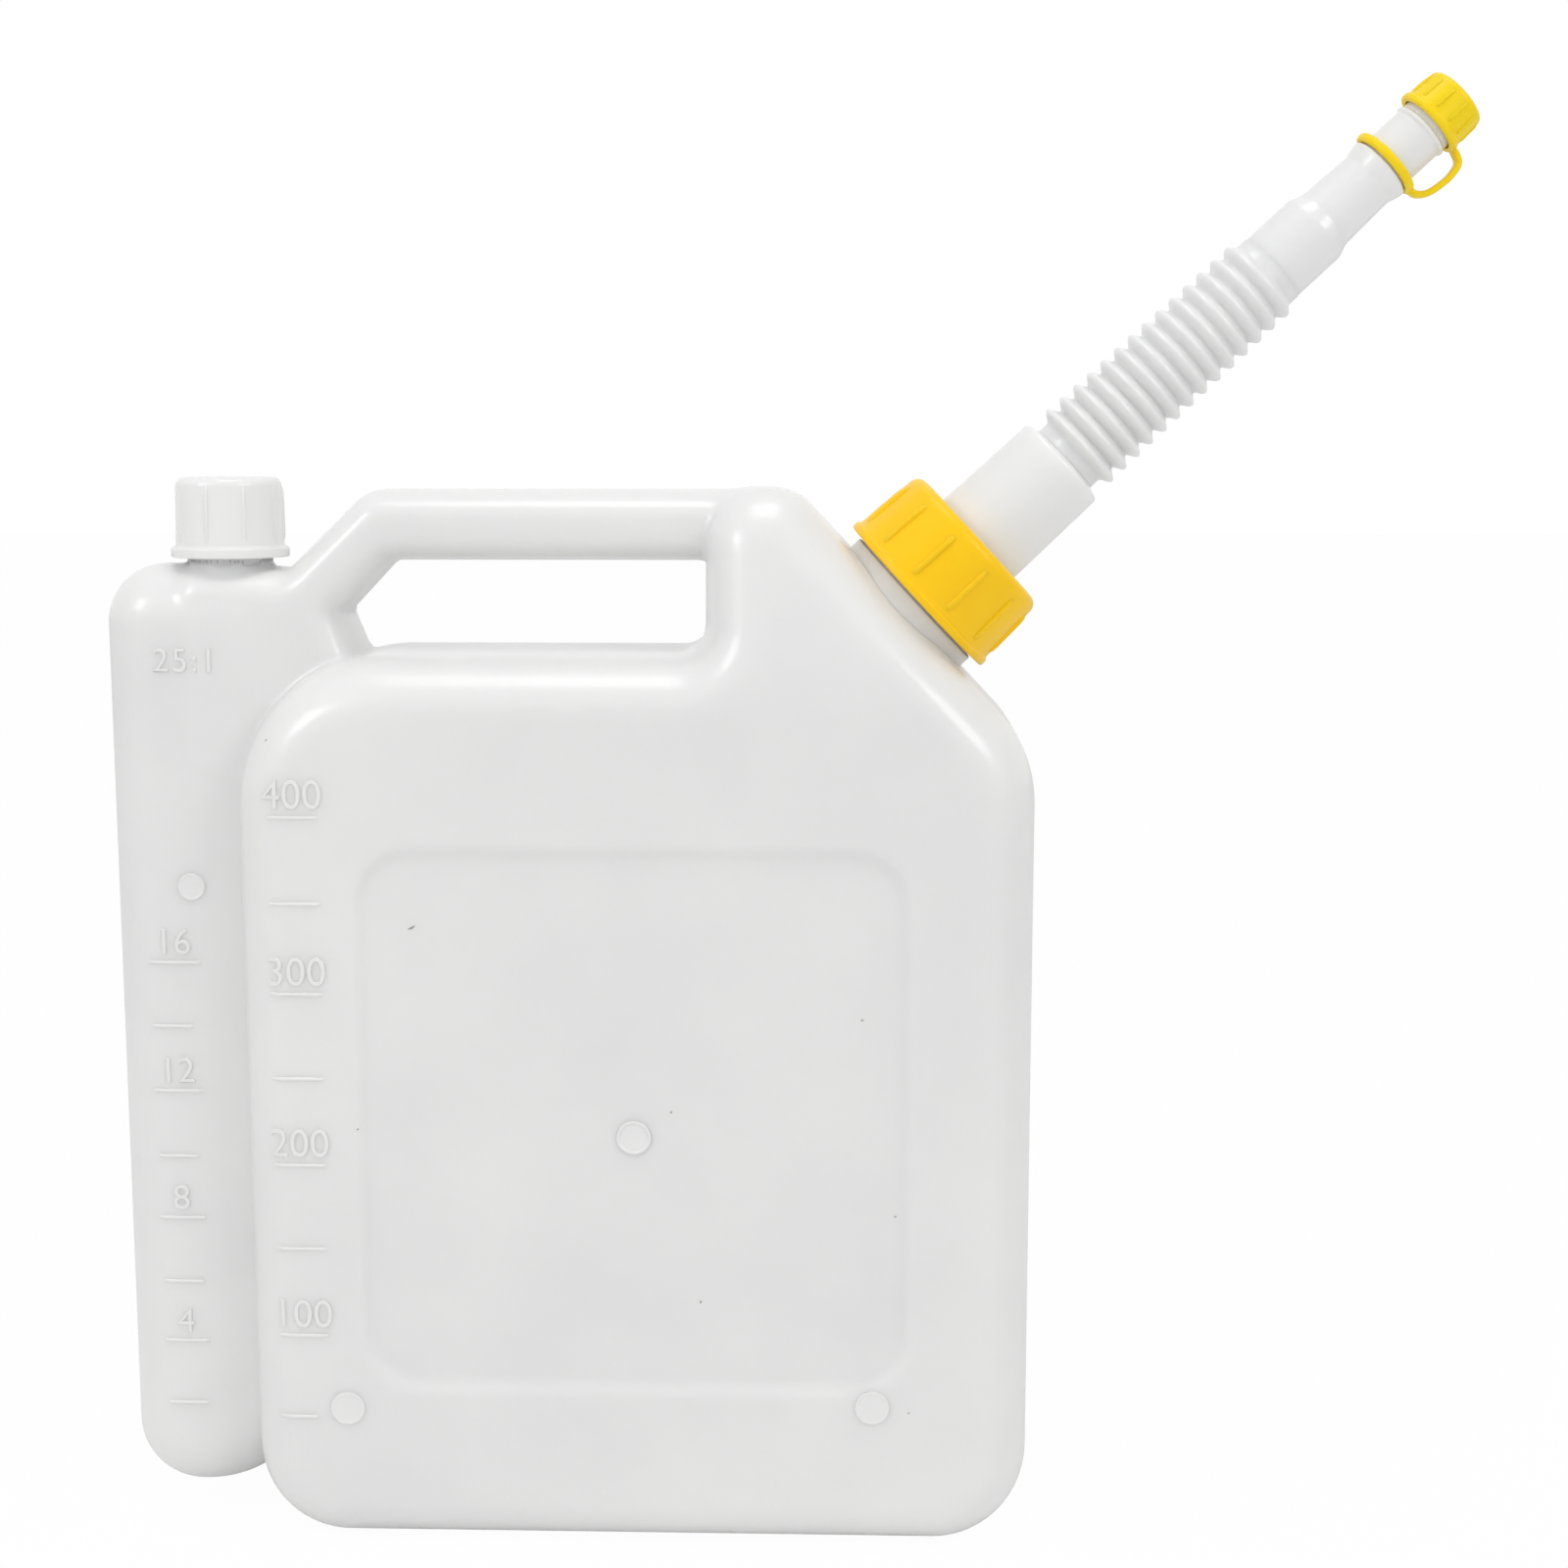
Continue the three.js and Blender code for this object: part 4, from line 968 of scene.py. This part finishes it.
def make_nozzle():
    profile = rounded_profile([
        (4.4, BELLOWS_END + 0.02, 0),
        (5.4, BELLOWS_END + 0.02, 0),
        (5.38, 78.9, 1.2),
        (4.66, 80.6, 1.2),
        (4.3, FLARE_START - 1.5, 2.5),
        (4.85, FLARE_START + 0.5, 0.5),
        (4.85, FLARE_START + 1, 0.2),
        (4.1, FLARE_START + 1.1, 0.15),
        (4.1, TIP_CAP_START - 1.7, 0.2),
        (4.4, TIP_CAP_START - 1.35, 0.15),
        (4.4, TIP_CAP_START - 1.05, 0.15),
        (4.1, TIP_CAP_START - 0.7, 0.2),
        (4.1, NOZZLE_END, 0.3),
        (NOZZLE_BORE, NOZZLE_END, 0.2),
        (NOZZLE_BORE, FLARE_START, 0),
        (3.65, 80.4, 0),
        (4.4, 79.4, 0),
    ])
    points, faces = turned(profile, SMALL)
    piece = make_piece("nozzle_tube", on_neck(points), faces, MILKY_SPOUT, "nozzle", 50)
    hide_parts("spout_nozzle")


def make_tip_ring():
    profile = rounded_profile([
        (4.35, TIP_RING_START, 0.4),
        (5.4, TIP_RING_START, 0.5),
        (5.4, TIP_RING_END, 0.5),
        (4.35, TIP_RING_END, 0.4),
    ])
    points, faces = turned(profile, SMALL)
    piece = make_piece("tip_ring_band", on_neck(points), faces, TIP_YELLOW, "tip_ring", 60)
    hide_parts("tip_ring")


def make_tip_strap():
    """A flat rounded band that bows out from the ring to the cap's flange, on the lower side."""
    knots = np.array(STRAP_KNOTS)
    path = []
    for i in range(len(knots) - 1):
        before = knots[max(i - 1, 0)]
        after = knots[min(i + 2, len(knots) - 1)]
        for k in range(8):
            t = k / 8
            a = 2 * knots[i]
            b = (knots[i + 1] - before) * t
            c = (2 * before - 5 * knots[i] + 4 * knots[i + 1] - after) * t * t
            d = (3 * knots[i] - before - 3 * knots[i + 1] + after) * t ** 3
            path.append((a + b + c + d) / 2)
    path.append(knots[-1])
    points = []
    faces = []
    for i, place in enumerate(path):
        ahead = path[min(i + 1, len(path) - 1)] - path[max(i - 1, 0)]
        ahead = ahead / np.linalg.norm(ahead)
        for k in range(STRAP_RING):
            angle = 2 * math.pi * k / STRAP_RING
            across = STRAP_WIDTH / 2 * np.sign(math.cos(angle)) * abs(math.cos(angle)) ** 0.6
            thick = STRAP_THICKNESS / 2 * np.sign(math.sin(angle)) * abs(math.sin(angle)) ** 0.8
            points.append((place[0] + ahead[1] * thick, across, place[1] - ahead[0] * thick))
    for i in range(len(path) - 1):
        here = i * STRAP_RING
        there = here + STRAP_RING
        for k in range(STRAP_RING):
            n = (k + 1) % STRAP_RING
            faces.append((here + k, here + n, there + n, there + k))
    faces.append(tuple(range(STRAP_RING - 1, -1, -1)))
    faces.append(tuple(range((len(path) - 1) * STRAP_RING, len(path) * STRAP_RING)))
    piece = make_piece("tip_strap_band", on_neck(points), faces, TIP_YELLOW, smooth_angle=60)
    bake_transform(piece)
    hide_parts("tip_strap")


def make_tip_cap():
    profile = rounded_profile([
        (TIP_CAP_BORE, TIP_CAP_START, 0.12),
        (5.3, TIP_CAP_START, 0.4),
        (5.3, TIP_CAP_START + 0.9, 0.35),
        (5.0, TIP_CAP_START + 1.1, 0.2),
        (4.75, TIP_CAP_END, 0.85),
        (0, TIP_CAP_END, 0),
        (0, TIP_CAP_END - 0.9, 0),
        (TIP_CAP_BORE, TIP_CAP_END - 0.9, 0.2),
    ])
    parts = [turned(profile, SMALL)]
    for k in range(TIP_CAP_RIB_COUNT):
        angle = 2 * math.pi * (k + 0.5) / TIP_CAP_RIB_COUNT
        parts.append(rib(angle, 4.96, 4.8, TIP_CAP_START + 1.4, TIP_CAP_END - 1.0, 0.5, 0.22))
    points, faces = joined(parts)
    piece = make_piece("tip_cap_shell", on_neck(points), faces, TIP_YELLOW, "tip_cap", 50)
    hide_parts("tip_cap")


def dress_seals():
    for node, material in (("oil_cap_liner", FOAM), ("spout_gasket", RUBBER)):
        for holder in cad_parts[node].material_slots:
            holder.material = material


# Studio

def make_floor():
    points = [(-4000, -4000, 0), (4000, -4000, 0), (4000, 4000, 0), (-4000, 4000, 0)]
    material, shader = new_material("studio_floor", (0.9, 0.9, 0.9), 0.9)
    nodes = material.node_tree.nodes
    links = material.node_tree.links
    vary_color(material, shader, add_noise(material, 9, 2), (0.895, 0.895, 0.895), (0.905, 0.905, 0.905))
    glow = nodes.new("ShaderNodeEmission")
    glow.inputs["Color"].default_value = (1, 1, 1, 1)
    path = nodes.new("ShaderNodeLightPath")
    seen = nodes.new("ShaderNodeMath")
    seen.operation = "MAXIMUM"
    links.new(path.outputs["Is Camera Ray"], seen.inputs[0])
    links.new(path.outputs["Is Transmission Ray"], seen.inputs[1])
    share = nodes.new("ShaderNodeMath")
    share.operation = "MULTIPLY"
    share.inputs[1].default_value = 0.97
    links.new(seen.outputs["Value"], share.inputs[0])
    mix = nodes.new("ShaderNodeMixShader")
    links.new(share.outputs["Value"], mix.inputs["Fac"])
    links.new(shader.outputs["BSDF"], mix.inputs[1])
    links.new(glow.outputs["Emission"], mix.inputs[2])
    links.new(mix.outputs["Shader"], nodes["Material Output"].inputs["Surface"])
    floor = make_piece("studio_floor", points, [(0, 1, 2, 3)], material)


def make_world():
    world = bpy.data.worlds.new("studio")
    bpy.context.scene.world = world
    world.use_nodes = True
    nodes = world.node_tree.nodes
    links = world.node_tree.links
    background = nodes["Background"]
    background.inputs["Color"].default_value = (1, 1, 1, 1)
    path = nodes.new("ShaderNodeLightPath")
    seen = nodes.new("ShaderNodeMath")
    seen.operation = "MAXIMUM"
    links.new(path.outputs["Is Camera Ray"], seen.inputs[0])
    links.new(path.outputs["Is Transmission Ray"], seen.inputs[1])
    both = nodes.new("ShaderNodeMath")
    both.operation = "MAXIMUM"
    links.new(seen.outputs["Value"], both.inputs[0])
    links.new(path.outputs["Is Glossy Ray"], both.inputs[1])
    level = nodes.new("ShaderNodeMapRange")
    level.inputs["To Min"].default_value = 0.6
    level.inputs["To Max"].default_value = 1
    links.new(both.outputs["Value"], level.inputs["Value"])
    links.new(level.outputs["Result"], background.inputs["Strength"])


def add_lamp(name, place, size, energy):
    lamp = bpy.data.lights.new(name, "AREA")
    lamp.shape = "SQUARE"
    lamp.size = size
    lamp.energy = energy
    holder = bpy.data.objects.new(name, lamp)
    holder.location = place
    aim = Vector((0, 0, 0.09)) - Vector(place)
    holder.rotation_euler = aim.to_track_quat("-Z", "Y").to_euler()
    bpy.context.scene.collection.objects.link(holder)


def add_camera():
    camera = bpy.data.cameras.new("camera")
    camera.lens = 54
    camera.sensor_width = 36
    camera.clip_start = 0.01
    holder = bpy.data.objects.new("camera", camera)
    holder.location = (0.03149, -0.34428, 0.16132)
    holder.rotation_euler = Euler((math.radians(81.8), 0, math.radians(1.75)))
    bpy.context.scene.collection.objects.link(holder)
    bpy.context.scene.camera = holder


make_body()
make_tank_neck()
make_oil_neck()
make_scales()
make_gate_marks()
make_specks()
make_oil_cap()
make_collar()
make_spout_base()
make_bellows()
make_nozzle()
make_tip_ring()
make_tip_strap()
make_tip_cap()
dress_seals()
make_floor()
make_world()
add_lamp("left_box", (-0.75, -0.65, 0.65), 0.35, 2.3)
add_lamp("right_box", (0.75, -0.65, 0.65), 0.35, 2.2)
add_lamp("top_box", (0, -0.15, 1.2), 0.5, 2.8)
add_camera()
bpy.context.scene.view_settings.view_transform = "Standard"
